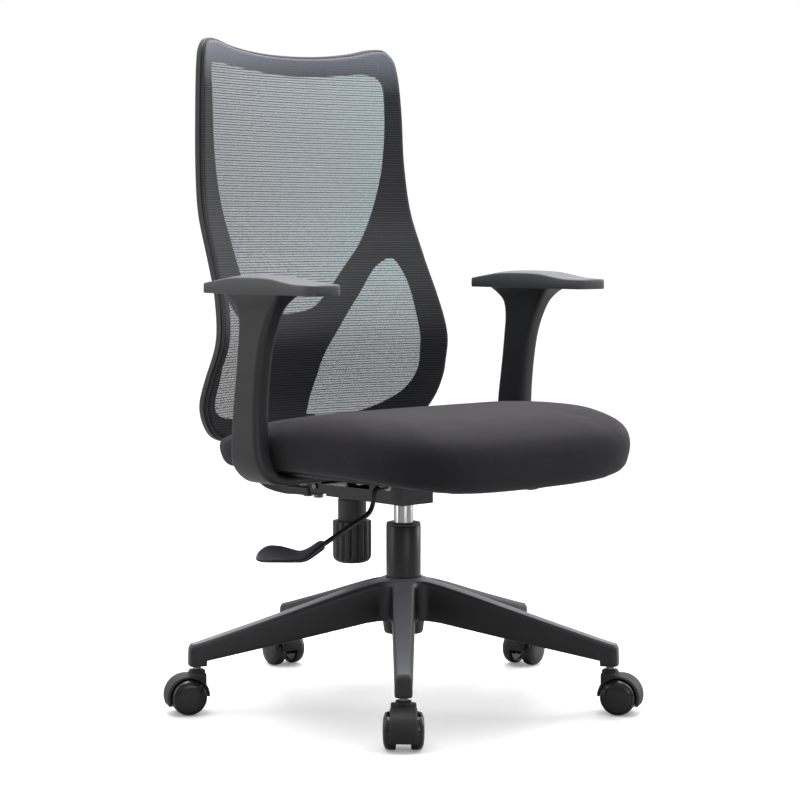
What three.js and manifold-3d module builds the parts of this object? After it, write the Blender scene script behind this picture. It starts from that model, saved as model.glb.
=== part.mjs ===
// A mesh-back swivel office chair: five-star base on twin-wheel castors, gas lift,
// reclining back with a tension knob, one lever, and fixed T-arms.
// Millimetres, +Z up. The column axis is the working origin, the sitter faces -Y,
// and the finished group is shifted so that its origin is the bottom centre of its box.
import * as THREE from 'three';
import * as BufferGeometryUtils from 'three/addons/utils/BufferGeometryUtils.js';
import Module from 'manifold-3d';

const wasm = await Module();
wasm.setup();

// ---- driving dimensions -------------------------------------------------------

const GAP = 0.3; // clearance between separate pieces that touch

const BASE_TURN = 47.5; // degrees from -X to the first base arm, seen from above
const ARM_COUNT = 5;
const STEM_RADIUS = 304; // column axis to castor stem
const HUB_RADIUS = 32.5;
const HUB_TOP = 176;
const HUB_BOTTOM = 116;
const SOCKET_BOTTOM = 67;
const SOCKET_TOP = 97;

const TUBE_RADIUS = 25;
const TUBE_TOP = 252;
const TUBE_BOTTOM = 96;
const CYLINDER_RADIUS = 14;
const CYLINDER_BOTTOM = 124;
const CYLINDER_TOP = 300;
const ROD_RADIUS = 5;

const WHEEL_RADIUS = 25;
const WHEEL_WIDTH = 18;
const WHEEL_INNER_FACE = 9.5; // from the castor's middle plane
const CASTOR_TRAIL = 15;
const STEM_SHAFT_RADIUS = 5.5;
const AXLE_RADIUS = 4;

const HOUSING_HALF_WIDTH = 30;
const HOUSING_BOTTOM = 284;
const HOUSING_TOP = 321;
const PLATE_TOP = 324.7;
const PIVOT_Y = 160; // recline axle
const PIVOT_Z = 296.5;
const KNOB_Y = 112;
const LEVER_Z = 310;
const LEVER_ROD_RADIUS = 3.5;
const PIN_RADIUS = 4; // gas valve's release pin

const SEAT_CENTRE_Y = -43;
const SEAT_HALF = 240;
const PAN_BOTTOM = 339;
const PAN_TOP = 350;
const PAN_HALF = 214;
const SEAT_TOP = 426;
const CUSHION_BOTTOM = 344;
const CUSHION_WIDEST = 372;

const FRAME_WIDTH = 20; // back frame rail, seen from the front
const FRAME_DEPTH = 20; // back frame rail, front to rear
const BOW = 0.00095; // plan curve of the back: how far it comes forward, per x squared
const MESH_THICKNESS = 2.4;

const ARM_X = 256; // middle of the armrest
const PAD_BOTTOM = 588;

// ---- materials ----------------------------------------------------------------

function finish(color, roughness, metalness = 0) {
  return new THREE.MeshStandardMaterial({ color, roughness, metalness });
}

const NYLON = finish('#2b2b2e', 0.45);
const SOFT_NYLON = finish('#2a2a2d', 0.55);
const BLACK_STEEL = finish('#222224', 0.4, 0.6);
const TUBE_PAINT = finish('#1f1f26', 0.38, 0.3);
const CHROME = finish('#c9c9cc', 0.15, 1);
const BRIGHT_STEEL = finish('#a3a5a8', 0.3, 1);
const ACETAL = finish('#d8d8d4', 0.4);
const RUBBER = finish('#191919', 0.85);
const TREAD = finish('#1b1b1d', 0.5);
const FABRIC = finish('#1d1d20', 0.95);
const MESH_FABRIC = finish('#34363b', 0.9);
const PLYWOOD = finish('#8b6a45', 0.8);
const PAD_PLASTIC = finish('#3a3a3e', 0.5);

// ---- geometry helpers ---------------------------------------------------------

function signedVolume(geometry) {
  const p = geometry.attributes.position;
  const index = geometry.index;
  const [a, b, c] = [new THREE.Vector3(), new THREE.Vector3(), new THREE.Vector3()];
  let volume = 0;
  for (let i = 0; i < index.count; i += 3) {
    a.fromBufferAttribute(p, index.getX(i));
    b.fromBufferAttribute(p, index.getX(i + 1));
    c.fromBufferAttribute(p, index.getX(i + 2));
    volume += a.dot(b.cross(c)) / 6;
  }
  return volume;
}

// Keeps positions only, joins shared corners and turns the faces outwards.
function closed(geometry) {
  geometry.deleteAttribute('normal');
  geometry.deleteAttribute('uv');
  const merged = BufferGeometryUtils.mergeVertices(geometry, 1e-3);
  if (signedVolume(merged) < 0) {
    const order = merged.index.array;
    for (let i = 0; i < order.length; i += 3) {
      [order[i], order[i + 1]] = [order[i + 1], order[i]];
    }
  }
  return merged;
}

function toSolid(geometry) {
  const g = closed(geometry);
  return new wasm.Manifold(new wasm.Mesh({
    numProp: 3,
    vertProperties: new Float32Array(g.attributes.position.array),
    triVerts: new Uint32Array(g.index.array),
  }));
}

function toGeometry(solid) {
  const mesh = solid.getMesh();
  const geometry = new THREE.BufferGeometry();
  geometry.setAttribute('position', new THREE.BufferAttribute(mesh.vertProperties, 3));
  geometry.setIndex(new THREE.BufferAttribute(mesh.triVerts, 1));
  return geometry;
}

function join(...geometries) {
  return toGeometry(geometries.map(toSolid).reduce((all, next) => all.add(next)));
}

function cut(geometry, ...tools) {
  return toGeometry(tools.map(toSolid).reduce((all, tool) => all.subtract(tool), toSolid(geometry)));
}

function box([x0, x1], [y0, y1], [z0, z1]) {
  const geometry = new THREE.BoxGeometry(x1 - x0, y1 - y0, z1 - z0);
  return geometry.translate((x0 + x1) / 2, (y0 + y1) / 2, (z0 + z1) / 2);
}

// A body turned about +Z from [radius, z] pairs.
function turned(profile, segments = 20) {
  const points = profile.map(([radius, z]) => new THREE.Vector2(radius, z));
  return new THREE.LatheGeometry(points, segments).rotateX(Math.PI / 2);
}

function ring(inner, outer, z0, z1, segments = 20) {
  return turned([[inner, z0], [outer, z0], [outer, z1], [inner, z1], [inner, z0]], segments);
}

function rod(radius, z0, z1, segments = 14) {
  return turned([[0, z0], [radius, z0], [radius, z1], [0, z1]], segments);
}

// A rod along an axis ('x' or 'y') between two places on it.
function crossRod(axis, radius, from, to, at, segments = 14) {
  const geometry = rod(radius, from, to, segments);
  if (axis === 'x') geometry.rotateY(Math.PI / 2);
  else geometry.rotateX(-Math.PI / 2);
  return geometry.translate(...at);
}

// Skins a row of equal-length rings; the ends are capped, or joined when looped.
function loft(rings, looped = false) {
  const count = rings[0].length;
  const positions = rings.flat().flatMap((p) => [p.x, p.y, p.z]);
  const index = [];
  const rows = looped ? rings.length : rings.length - 1;
  for (let i = 0; i < rows; i++) {
    const next = (i + 1) % rings.length;
    for (let j = 0; j < count; j++) {
      const k = (j + 1) % count;
      const [a, b] = [i * count + j, i * count + k];
      const [c, d] = [next * count + k, next * count + j];
      index.push(a, b, c, a, c, d);
    }
  }
  if (!looped) {
    const last = (rings.length - 1) * count;
    for (let j = 1; j < count - 1; j++) {
      index.push(0, j + 1, j);
      index.push(last, last + j, last + j + 1);
    }
  }
  const geometry = new THREE.BufferGeometry();
  geometry.setAttribute('position', new THREE.Float32BufferAttribute(positions, 3));
  geometry.setIndex(index);
  return closed(geometry);
}

// A loft of flat, folded rings: out along one face and back along the other.
function loftPlates(rings) {
  const count = rings[0].length;
  const body = rings.flat().flatMap((p) => [p.x, p.y, p.z]);
  const index = [];
  for (let i = 0; i < rings.length - 1; i++) {
    for (let j = 0; j < count; j++) {
      const [a, b] = [i * count + j, i * count + ((j + 1) % count)];
      index.push(a, b, b + count, a, b + count, a + count);
    }
  }
  const last = (rings.length - 1) * count;
  for (let j = 0; j < count / 2 - 1; j++) {
    const [a, b, c, d] = [j, j + 1, count - 2 - j, count - 1 - j];
    index.push(a, c, b, a, d, c);
    index.push(last + a, last + b, last + c, last + a, last + c, last + d);
  }
  const geometry = new THREE.BufferGeometry();
  geometry.setAttribute('position', new THREE.Float32BufferAttribute(body, 3));
  geometry.setIndex(index);
  return closed(geometry);
}

// The corners of a rectangle with cut corners, centred on (0, 0).
function chamferedRectangle(width, height, chamfer) {
  const [w, h] = [width / 2, height / 2];
  return [
    [w - chamfer, -h], [w, -h + chamfer], [w, h - chamfer], [w - chamfer, h],
    [-w + chamfer, h], [-w, h - chamfer], [-w, -h + chamfer], [-w + chamfer, -h],
  ];
}

// A rounded square (superellipse) ring at height z.
function squareRing(half, z, centreY, count = 28, power = 5) {
  return Array.from({ length: count }, (_, i) => {
    const t = (i / count) * 2 * Math.PI;
    const [c, s] = [Math.cos(t), Math.sin(t)];
    const x = half * Math.sign(c) * Math.abs(c) ** (2 / power);
    const y = half * Math.sign(s) * Math.abs(s) ** (2 / power);
    return new THREE.Vector3(x, centreY + y, z);
  });
}

// ---- assembly helpers ---------------------------------------------------------

const chair = new THREE.Group();

function add(name, geometry, material, parent = chair) {
  const mesh = new THREE.Mesh(geometry, material);
  mesh.name = name;
  parent.add(mesh);
  return mesh;
}

// ---- star base ----------------------------------------------------------------

// Stations of an arm: distance out, top, bottom, width.
const ARM_STATIONS = [
  [18, 177.5, 119, 35],
  [60, 168.5, 115, 33],
  [95, 159, 108.5, 31],
  [169, 137, 95, 27.5],
  [256, 112, 79.7, 25],
  [304, 98.7, 70.5, 23.5],
];

function armLoft(stations, topShare) {
  return loft(stations.map(([out, top, bottom, width]) => {
    const [w, t] = [width / 2, (width / 2) * topShare];
    const shoulder = top - 5;
    return [
      [-w * 0.86, bottom], [w * 0.86, bottom], [w, bottom + 8], [w * 0.94, shoulder],
      [t, top], [-t, top], [-w * 0.94, shoulder], [-w, bottom + 8],
    ].map(([y, z]) => new THREE.Vector3(out, y, z));
  }));
}

// The underside of an arm is an open trough with a cross rib.
function armTroughs() {
  const troughs = [[46, 160], [165, 284]];
  const at = (out) => {
    const i = ARM_STATIONS.findIndex(([o]) => o >= out);
    const [a, b] = [ARM_STATIONS[i - 1], ARM_STATIONS[i]];
    const t = (out - a[0]) / (b[0] - a[0]);
    return a.map((value, k) => value + (b[k] - value) * t);
  };
  return troughs.map(([from, to]) => loft([from, to].map((out) => {
    const [, top, bottom, width] = at(out);
    const w = width / 2 - 4.5;
    return [[-w, bottom - 6], [w, bottom - 6], [w * 0.8, top - 10], [-w * 0.8, top - 10]]
      .map(([y, z]) => new THREE.Vector3(out, y, z));
  })));
}

function starBase() {
  const hub = turned([
    [0, HUB_BOTTOM], [27, HUB_BOTTOM], [31, HUB_BOTTOM + 6], [HUB_RADIUS, HUB_TOP - 8],
    [HUB_RADIUS - 3, HUB_TOP], [0, HUB_TOP],
  ]);
  const collar = turned([
    [0, SOCKET_BOTTOM], [12, SOCKET_BOTTOM], [12, SOCKET_TOP - 3], [10, SOCKET_TOP],
    [0, SOCKET_TOP],
  ], 12).translate(STEM_RADIUS, 0, 0);
  const turns = Array.from({ length: ARM_COUNT }, (_, i) => (i * 2 * Math.PI) / ARM_COUNT);
  const spin = (geometry, angle) => geometry.clone().rotateZ(angle);
  const arm = join(armLoft(ARM_STATIONS, 0.74), collar);
  const socket = rod(STEM_SHAFT_RADIUS + GAP, SOCKET_BOTTOM - 5, SOCKET_TOP - 4, 10)
    .translate(STEM_RADIUS, 0, 0);
  const holes = [...armTroughs(), socket];
  const bore = turned([
    [0, TUBE_BOTTOM], [22 + GAP, TUBE_BOTTOM], [22 + GAP, HUB_BOTTOM],
    [TUBE_RADIUS + GAP, HUB_TOP], [TUBE_RADIUS + GAP, HUB_TOP + 20], [0, HUB_TOP + 20],
  ]);
  const body = join(hub, ...turns.map((angle) => spin(arm, angle)));
  return cut(body, bore, ...turns.flatMap((angle) => holes.map((hole) => spin(hole, angle))));
}

// ---- gas lift -----------------------------------------------------------------

function outerTube() {
  return turned([
    [ROD_RADIUS + GAP, TUBE_BOTTOM], [22, TUBE_BOTTOM], [22, HUB_BOTTOM],
    [TUBE_RADIUS, HUB_TOP], [TUBE_RADIUS, TUBE_TOP], [22.8, TUBE_TOP],
    [22.8, HUB_TOP], [19.5, HUB_BOTTOM + 4], [19.5, TUBE_BOTTOM + 4],
    [ROD_RADIUS + GAP, TUBE_BOTTOM + 4], [ROD_RADIUS + GAP, TUBE_BOTTOM],
  ]);
}

function guideBush() {
  const bore = CYLINDER_RADIUS + GAP;
  return turned([
    [bore, HUB_TOP + 4], [22.5, HUB_TOP + 4], [22.5, TUBE_TOP + GAP], [24.6, TUBE_TOP + GAP],
    [24.6, TUBE_TOP + 2], [22.6, TUBE_TOP + 4.5], [bore, TUBE_TOP + 4.5], [bore, HUB_TOP + 4],
  ]);
}

function gasCylinder() {
  const shell = turned([
    [0, CYLINDER_BOTTOM], [CYLINDER_RADIUS - 1, CYLINDER_BOTTOM],
    [CYLINDER_RADIUS, CYLINDER_BOTTOM + 2], [CYLINDER_RADIUS, CYLINDER_TOP - 3],
    [CYLINDER_RADIUS - 1, CYLINDER_TOP], [0, CYLINDER_TOP],
  ]);
  const chamber = rod(11.8, CYLINDER_BOTTOM + 6, 284);
  const rodHole = rod(ROD_RADIUS + GAP, CYLINDER_BOTTOM - 5, CYLINDER_BOTTOM + 10);
  const pinHole = rod(PIN_RADIUS + GAP, 288, CYLINDER_TOP + 5);
  return cut(shell, chamber, rodHole, pinHole);
}

// The pin that the lever pushes down to free the gas valve; its top is domed.
function releasePin() {
  const top = LEVER_Z - LEVER_ROD_RADIUS - GAP;
  return turned([
    [0, 293], [PIN_RADIUS, 293], [PIN_RADIUS, top - 3], [PIN_RADIUS - 0.4, top - 1.8],
    [PIN_RADIUS - 1.4, top - 0.6], [1, top], [0, top],
  ], 14);
}

function buildColumn() {
  add('gas_outer_tube', outerTube(), TUBE_PAINT);
  add('guide_bush', guideBush(), SOFT_NYLON);
  add('thrust_bearing', ring(ROD_RADIUS + GAP, 14, 100.3, 108), BRIGHT_STEEL);
  add('rubber_buffer', ring(ROD_RADIUS + GAP, 12, 108.3, CYLINDER_BOTTOM - GAP), RUBBER);
  add('retaining_clip', ring(ROD_RADIUS + GAP, 9, 93.6, TUBE_BOTTOM - GAP), BRIGHT_STEEL);
  const pistonRod = turned([[0, 91], [ROD_RADIUS, 91], [ROD_RADIUS, 266], [11.4, 266],
    [11.4, 276], [0, 276]]);
  add('piston_rod', pistonRod, BRIGHT_STEEL);
  add('gas_cylinder', gasCylinder(), CHROME);
  add('release_pin', releasePin(), BRIGHT_STEEL);
}

// ---- castors ------------------------------------------------------------------

const HOOD_RADIUS = 29;
const HOOD_SIDE = 18;
const HOOD_BOSS_TOP = 61;

function hoodSector(inner, halfWidth) {
  const shape = new THREE.Shape();
  const [from, to] = [-0.42, Math.PI];
  if (inner > 0) {
    shape.absarc(0, 0, HOOD_RADIUS, from, to, false);
    shape.absarc(0, 0, inner, to, from, true);
  } else {
    shape.absarc(0, 0, HOOD_RADIUS, from, to, false);
    shape.lineTo(-8, -7);
    shape.lineTo(8, -9);
  }
  const geometry = new THREE.ExtrudeGeometry(shape, {
    depth: 2 * halfWidth, bevelEnabled: false, curveSegments: 5,
  });
  return geometry.rotateX(Math.PI / 2).translate(CASTOR_TRAIL, halfWidth, WHEEL_RADIUS);
}

function castorHood() {
  const fender = hoodSector(WHEEL_RADIUS + 1.3, HOOD_SIDE);
  const web = hoodSector(0, WHEEL_INNER_FACE - GAP);
  const boss = turned([[0, 50], [10.7, 50], [10.7, HOOD_BOSS_TOP - 2], [9.5, HOOD_BOSS_TOP],
    [0, HOOD_BOSS_TOP]], 12);
  const stemHole = rod(STEM_SHAFT_RADIUS + GAP, 36, HOOD_BOSS_TOP + 5, 10);
  const axleHole = crossRod('y', AXLE_RADIUS + GAP, -20, 20, [CASTOR_TRAIL, 0, WHEEL_RADIUS], 10);
  return cut(join(fender, web, boss), stemHole, axleHole);
}

// A wheel on +Z with its inner face at z = 0, closed at the outer face.
function castorWheel() {
  const w = WHEEL_WIDTH;
  return turned([
    [0, 15.5], [AXLE_RADIUS + GAP, 15.5], [AXLE_RADIUS + GAP, 0], [WHEEL_RADIUS - 1, 0],
    [WHEEL_RADIUS, 2], [WHEEL_RADIUS, w - 8], [WHEEL_RADIUS - 1, w - 4],
    [WHEEL_RADIUS - 3.5, w - 0.8], [0, w],
  ]);
}

function buildCastor(number, angle) {
  const castor = new THREE.Group();
  castor.position.set(STEM_RADIUS * Math.cos(angle), STEM_RADIUS * Math.sin(angle), 0);
  castor.rotation.z = angle;
  chair.add(castor);
  add(`castor_hood_${number}`, castorHood(), NYLON, castor);
  add(`castor_stem_${number}`, rod(STEM_SHAFT_RADIUS, 36.5, SOCKET_TOP - 5, 10),
    BRIGHT_STEEL, castor);
  add(`castor_axle_${number}`,
    crossRod('y', AXLE_RADIUS, -24, 24, [CASTOR_TRAIL, 0, WHEEL_RADIUS], 10), BRIGHT_STEEL, castor);
  for (const [side, sign] of [['a', 1], ['b', -1]]) {
    const wheel = add(`castor_wheel_${number}${side}`, castorWheel(), TREAD, castor);
    wheel.rotation.x = -sign * Math.PI / 2;
    wheel.position.set(CASTOR_TRAIL, sign * WHEEL_INNER_FACE, WHEEL_RADIUS);
  }
}

function buildBase() {
  const first = Math.PI + THREE.MathUtils.degToRad(BASE_TURN);
  const base = add('star_base', starBase(), NYLON);
  base.rotation.z = first;
  for (let i = 0; i < ARM_COUNT; i++) {
    buildCastor(i + 1, first + (i * 2 * Math.PI) / ARM_COUNT);
  }
}

// ---- mechanism ----------------------------------------------------------------

const CHANNEL_TOP = 301; // the rear channel's walls
const FLOOR_TOP = HOUSING_BOTTOM + 3;
const WALL_INNER = HOUSING_HALF_WIDTH - 3;
const BAR_BOTTOM = 293;
const BAR_TOP = 300;
const BAR_HALF_WIDTH = 22;
const LEVER_BALL_RADIUS = 7.5;
const LEVER_PIVOT_X = (-HOUSING_HALF_WIDTH - WALL_INNER) / 2; // in the middle of the wall

function mechHousing() {
  const w = HOUSING_HALF_WIDTH;
  const inside = WALL_INNER;
  const body = box([-w, w], [-30, 172], [HOUSING_BOTTOM, HOUSING_TOP]);
  const front = box([-inside, inside], [-27, 60], [CYLINDER_TOP + 0.5, HOUSING_TOP + 1]);
  const rear = box([-inside, inside], [24, 180], [FLOOR_TOP, HOUSING_TOP + 1]);
  const low = box([-w - 1, w + 1], [40, 146], [CHANNEL_TOP, HOUSING_TOP + 1]);
  const eyes = box([-w - 1, w + 1], [145, 180], [307, HOUSING_TOP + 1]);
  const openFloor = box([-w - 1, w + 1], [136, 180], [HOUSING_BOTTOM - 1, FLOOR_TOP]);
  const bore = rod(CYLINDER_RADIUS + GAP, HOUSING_BOTTOM - 1, CYLINDER_TOP + 1, 20);
  const boltHole = rod(6.5, HOUSING_BOTTOM - 1, FLOOR_TOP + 1).translate(0, KNOB_Y, 0);
  const axleHole = crossRod('x', 4 + GAP, -40, 40, [0, PIVOT_Y, PIVOT_Z]);
  const leverHole = crossRod('x', LEVER_BALL_RADIUS + GAP, -40, -20, [0, 0, LEVER_Z], 20);
  return cut(body, front, rear, low, eyes, openFloor, bore, boltHole, axleHole, leverHole);
}

const SEAT_BOLT_PLACES = [[-80, -45], [80, -45], [-80, 115], [80, 115]];

function seatPlate() {
  const plate = box([-95, 95], [-60, 130], [HOUSING_TOP + GAP, PLATE_TOP]);
  const spacers = SEAT_BOLT_PLACES.map(([x, y]) => (
    rod(8, PLATE_TOP - 1, PAN_BOTTOM - GAP, 12).translate(x, y, 0)
  ));
  const holes = SEAT_BOLT_PLACES.map(([x, y]) => rod(3.3, 315, 345, 8).translate(x, y, 0));
  const headRoom = rod(12, 315, 330).translate(0, KNOB_Y, 0);
  return cut(join(plate, ...spacers), headRoom, ...holes);
}

// A hex bolt driven from below: the head, then its shank going up.
function bolt([x, y], headRadius, headBottom, headTop, shankRadius, shankTop) {
  return join(
    rod(headRadius, headBottom, headTop, 6),
    rod(shankRadius, headTop - 1, shankTop, 8),
  ).translate(x, y, 0);
}

function tensionBolt() {
  const [centre, radius] = [307, 9];
  const dome = [];
  for (let i = 0; i <= 3; i++) {
    const t = THREE.MathUtils.degToRad(34 + i * 18.6);
    dome.push([radius * Math.sin(t), centre - radius * Math.cos(t)]);
  }
  return turned([[0, 206], [5, 206], [5, dome[0][1]], ...dome, [radius - 0.5, 309], [0, 309]], 16)
    .translate(0, KNOB_Y, 0);
}

function tensionSpring() {
  const [turns, radius, wire, bottom, top] = [5.5, 14.5, 2, 224.6, 281.3];
  class Helix extends THREE.Curve {
    getPoint(t) {
      const a = t * turns * 2 * Math.PI;
      const z = bottom + (top - bottom) * t;
      return new THREE.Vector3(radius * Math.cos(a), KNOB_Y + radius * Math.sin(a), z);
    }
  }
  const section = new THREE.Shape();
  for (let i = 0; i < 5; i++) {
    const a = (i / 5) * 2 * Math.PI;
    const [x, y] = [wire * Math.cos(a), wire * Math.sin(a)];
    if (i === 0) section.moveTo(x, y);
    else section.lineTo(x, y);
  }
  return closed(new THREE.ExtrudeGeometry(section, { steps: 40, extrudePath: new Helix() }));
}

const KNOB_RADIUS = 28.5;
const KNOB_TOP = 248;
const KNOB_BOTTOM = 185;
const KNOB_FLUTES = 16;

function tensionKnob() {
  const shape = new THREE.Shape();
  const steps = KNOB_FLUTES * 3;
  for (let i = 0; i < steps; i++) {
    const a = (i / steps) * 2 * Math.PI;
    const r = KNOB_RADIUS - (i % 3 === 0 ? 1.6 : 0);
    if (i === 0) shape.moveTo(r * Math.cos(a), r * Math.sin(a));
    else shape.lineTo(r * Math.cos(a), r * Math.sin(a));
  }
  const grip = new THREE.ExtrudeGeometry(shape, { depth: KNOB_TOP - KNOB_BOTTOM - 5, bevelEnabled: false })
    .translate(0, 0, KNOB_BOTTOM + 5);
  const base = turned([[0, KNOB_BOTTOM], [17, KNOB_BOTTOM + 0.6], [25, KNOB_BOTTOM + 3],
    [26.8, KNOB_BOTTOM + 6], [0, KNOB_BOTTOM + 6]], 20);
  const well = rod(22, 222, KNOB_TOP + 5, 20);
  const boltHole = rod(5 + GAP, 205, 230);
  return cut(join(grip, base), well, boltHole).translate(0, KNOB_Y, 0);
}

const BAR_BOLT_PLACES = [[0, 188], [0, 212]];

function reclineBar() {
  const strap = box([-BAR_HALF_WIDTH, BAR_HALF_WIDTH], [104, 224], [BAR_BOTTOM, BAR_TOP]);
  const barrel = crossRod('x', 8, -BAR_HALF_WIDTH, BAR_HALF_WIDTH, [0, PIVOT_Y, PIVOT_Z]);
  const axleHole = crossRod('x', 4 + GAP, -40, 40, [0, PIVOT_Y, PIVOT_Z]);
  const fork = box([-6.3, 6.3], [100, 124], [BAR_BOTTOM - 1, BAR_TOP + 1]);
  const holes = BAR_BOLT_PLACES.map(([x, y]) => rod(4 + GAP, 290, 305, 8).translate(x, y, 0));
  return cut(join(strap, barrel), axleHole, fork, ...holes);
}

// A ball that turns in the housing's wall, with a sleeve that the lever rod slides in.
function leverBush() {
  const [r, bore] = [LEVER_BALL_RADIUS, LEVER_ROD_RADIUS + 0.9];
  const ball = [-40, -20, 0, 20, 38].map((degrees) => {
    const t = THREE.MathUtils.degToRad(degrees);
    return [r * Math.cos(t), r * Math.sin(t)];
  });
  const sleeve = [[5.9, 9], [5.9, 13], [bore, 13]];
  const profile = [[bore, ball[0][1]], ...ball, ...sleeve, [bore, ball[0][1]]];
  return turned(profile, 20).rotateY(Math.PI / 2).translate(LEVER_PIVOT_X, 0, LEVER_Z);
}

// Lever rod: straight through the housing wall, down beside it, then out to the paddle.
function leverRod() {
  const path = new THREE.CatmullRomCurve3([
    new THREE.Vector3(14, 0, LEVER_Z), new THREE.Vector3(-12, 0, LEVER_Z),
    new THREE.Vector3(-34, 0, LEVER_Z), new THREE.Vector3(-48, 0, LEVER_Z - 0.4),
    new THREE.Vector3(-55.5, 0, LEVER_Z - 5), new THREE.Vector3(-58, 0, LEVER_Z - 14),
    new THREE.Vector3(-59.8, 0, LEVER_Z - 25), new THREE.Vector3(-67, 0, LEVER_Z - 35.5),
    new THREE.Vector3(-110, 0, 255.5), new THREE.Vector3(-172, 0, 229),
  ], false, 'centripetal');
  const section = new THREE.Shape().absarc(0, 0, LEVER_ROD_RADIUS, 0, 2 * Math.PI, false);
  return closed(new THREE.ExtrudeGeometry(section, {
    steps: 22, extrudePath: path, curveSegments: 4,
  }));
}

// Paddle: a tapered sleeve over the rod's end that flattens into a leaf-shaped blade,
// rolled about its length so that its rear edge stands higher.
function leverPaddle() {
  const stations = [ // x, z, half width, half thickness, roll in degrees
    [-154, 237.5, 8, 6.5, 0], [-172, 229.5, 9, 7, 4], [-186, 225.5, 12, 6, 14],
    [-200, 227, 16, 4.5, 26], [-218, 231, 19, 3.2, 30], [-238, 233, 19, 3, 30],
    [-255, 231.5, 14, 3, 28], [-265, 229.5, 8, 2.6, 26], [-269, 228.7, 3, 1.8, 26],
  ];
  const body = loft(stations.map(([x, z, w, h, degrees]) => {
    const roll = THREE.MathUtils.degToRad(degrees);
    const section = chamferedRectangle(2 * w, 2 * h, Math.min(w, h) * 0.45);
    return section.map(([y, up]) => new THREE.Vector3(
      x, y * Math.cos(roll) - up * Math.sin(roll), z + y * Math.sin(roll) + up * Math.cos(roll),
    ));
  }));
  const slope = Math.atan2(255.5 - 229, 62);
  const socket = rod(LEVER_ROD_RADIUS + GAP, -24, 30, 10).rotateY(Math.PI / 2).rotateY(-slope)
    .translate(-152, 0, 237.5);
  return cut(body, socket);
}

function buildMechanism() {
  add('mech_housing', mechHousing(), BLACK_STEEL);
  add('seat_plate', seatPlate(), BLACK_STEEL);
  add('recline_axle', crossRod('x', 4, -33, 33, [0, PIVOT_Y, PIVOT_Z]), BRIGHT_STEEL);
  add('spring_sleeve', ring(18, 21, 236, HOUSING_BOTTOM - GAP).translate(0, KNOB_Y, 0),
    SOFT_NYLON);
  add('tension_spring', tensionSpring(), BRIGHT_STEEL);
  add('tension_bolt', tensionBolt(), BRIGHT_STEEL);
  add('tension_knob', tensionKnob(), SOFT_NYLON);
  add('recline_bar', reclineBar(), BLACK_STEEL);
  add('lever_bush', leverBush(), ACETAL);
  add('lever_rod', leverRod(), BLACK_STEEL);
  add('lever_paddle', leverPaddle(), NYLON);
}

// ---- seat ---------------------------------------------------------------------

const ARM_BOLT = [165, 26];
const SIDES = [['right', -1], ['left', 1]]; // the sitter's right is at -X

function seatPan() {
  const board = loft([
    squareRing(PAN_HALF - 3, PAN_BOTTOM, SEAT_CENTRE_Y),
    squareRing(PAN_HALF, PAN_BOTTOM + 3, SEAT_CENTRE_Y),
    squareRing(PAN_HALF, PAN_TOP, SEAT_CENTRE_Y),
  ]);
  const armBolts = SIDES.map(([, side]) => [side * ARM_BOLT[0], ARM_BOLT[1]]);
  const holes = [...SEAT_BOLT_PLACES, ...armBolts]
    .map(([x, y]) => rod(3.3, PAN_BOTTOM - 2, PAN_TOP - 1, 8).translate(x, y, 0));
  return cut(board, ...holes);
}

// Heights of the cushion's rings, and how far each is in from the widest line.
const CUSHION_RINGS = [
  [CUSHION_BOTTOM, 23], [358, 5], [CUSHION_WIDEST, 0], [393, 2], [407, 8], [416, 20],
  [SEAT_TOP - 4, 42], [SEAT_TOP - 1, 90], [SEAT_TOP, 155],
];

// The cushion follows a bent shell: its top falls to the rear and in a waterfall to the
// front, and its lower edge drops at the front, most in the middle.
function bentCushion(x, y, z) {
  const clamp = THREE.MathUtils.clamp;
  if (z > CUSHION_WIDEST) {
    const share = clamp((z - CUSHION_WIDEST) / (SEAT_TOP - 10 - CUSHION_WIDEST), 0, 1);
    const rear = 31 * clamp((y - 30) / 160, 0, 1) ** 1.3;
    const front = 14 * clamp((SEAT_CENTRE_Y - 90 - y) / 150, 0, 1) ** 2;
    return z - (rear + front) * share;
  }
  const share = (CUSHION_WIDEST - z) / (CUSHION_WIDEST - CUSHION_BOTTOM);
  const front = 23 * clamp((-110 - y) / 150, 0, 1) ** 1.5 * (1 - 0.6 * (x / SEAT_HALF) ** 2);
  const rear = 10 * clamp((y - 60) / 110, 0, 1);
  return z - (front + rear) * share;
}

function seatCushion() {
  const rings = CUSHION_RINGS.map(([z, inset]) => squareRing(SEAT_HALF - inset, z, SEAT_CENTRE_Y)
    .map((p) => new THREE.Vector3(p.x, p.y, bentCushion(p.x, p.y, z))));
  const recess = loft([
    squareRing(PAN_HALF + 1, PAN_BOTTOM - 40, SEAT_CENTRE_Y),
    squareRing(PAN_HALF + 1, PAN_TOP + GAP, SEAT_CENTRE_Y),
  ]);
  return cut(loft(rings), recess);
}

// ---- arms ---------------------------------------------------------------------

// Middle line of an arm from the foot under the seat to the pad: x, z, then the
// section's thickness, its front and its rear edge.
const ARM_PATH = [
  [130, 332, 13.4, 0, 52],
  [196, 332, 13.4, -2, 55],
  [218, 332, 13.4, -3, 57],
  [236, 336.5, 17, -4, 60],
  [248, 347, 22, -5, 62],
  [254.5, 360, 25.5, -3, 62],
  [256, 374, 27, 0, 60],
  [256, 420, 27, 2, 57],
  [256, 478, 27, -3, 49],
  [256, 520, 27, -11, 44],
  [256, 548, 27, -22, 42],
  [256, 568, 28, -34, 46],
  [256, 580, 33, -46, 57],
  [256, PAD_BOTTOM - GAP, 40, -57, 67],
];

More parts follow.
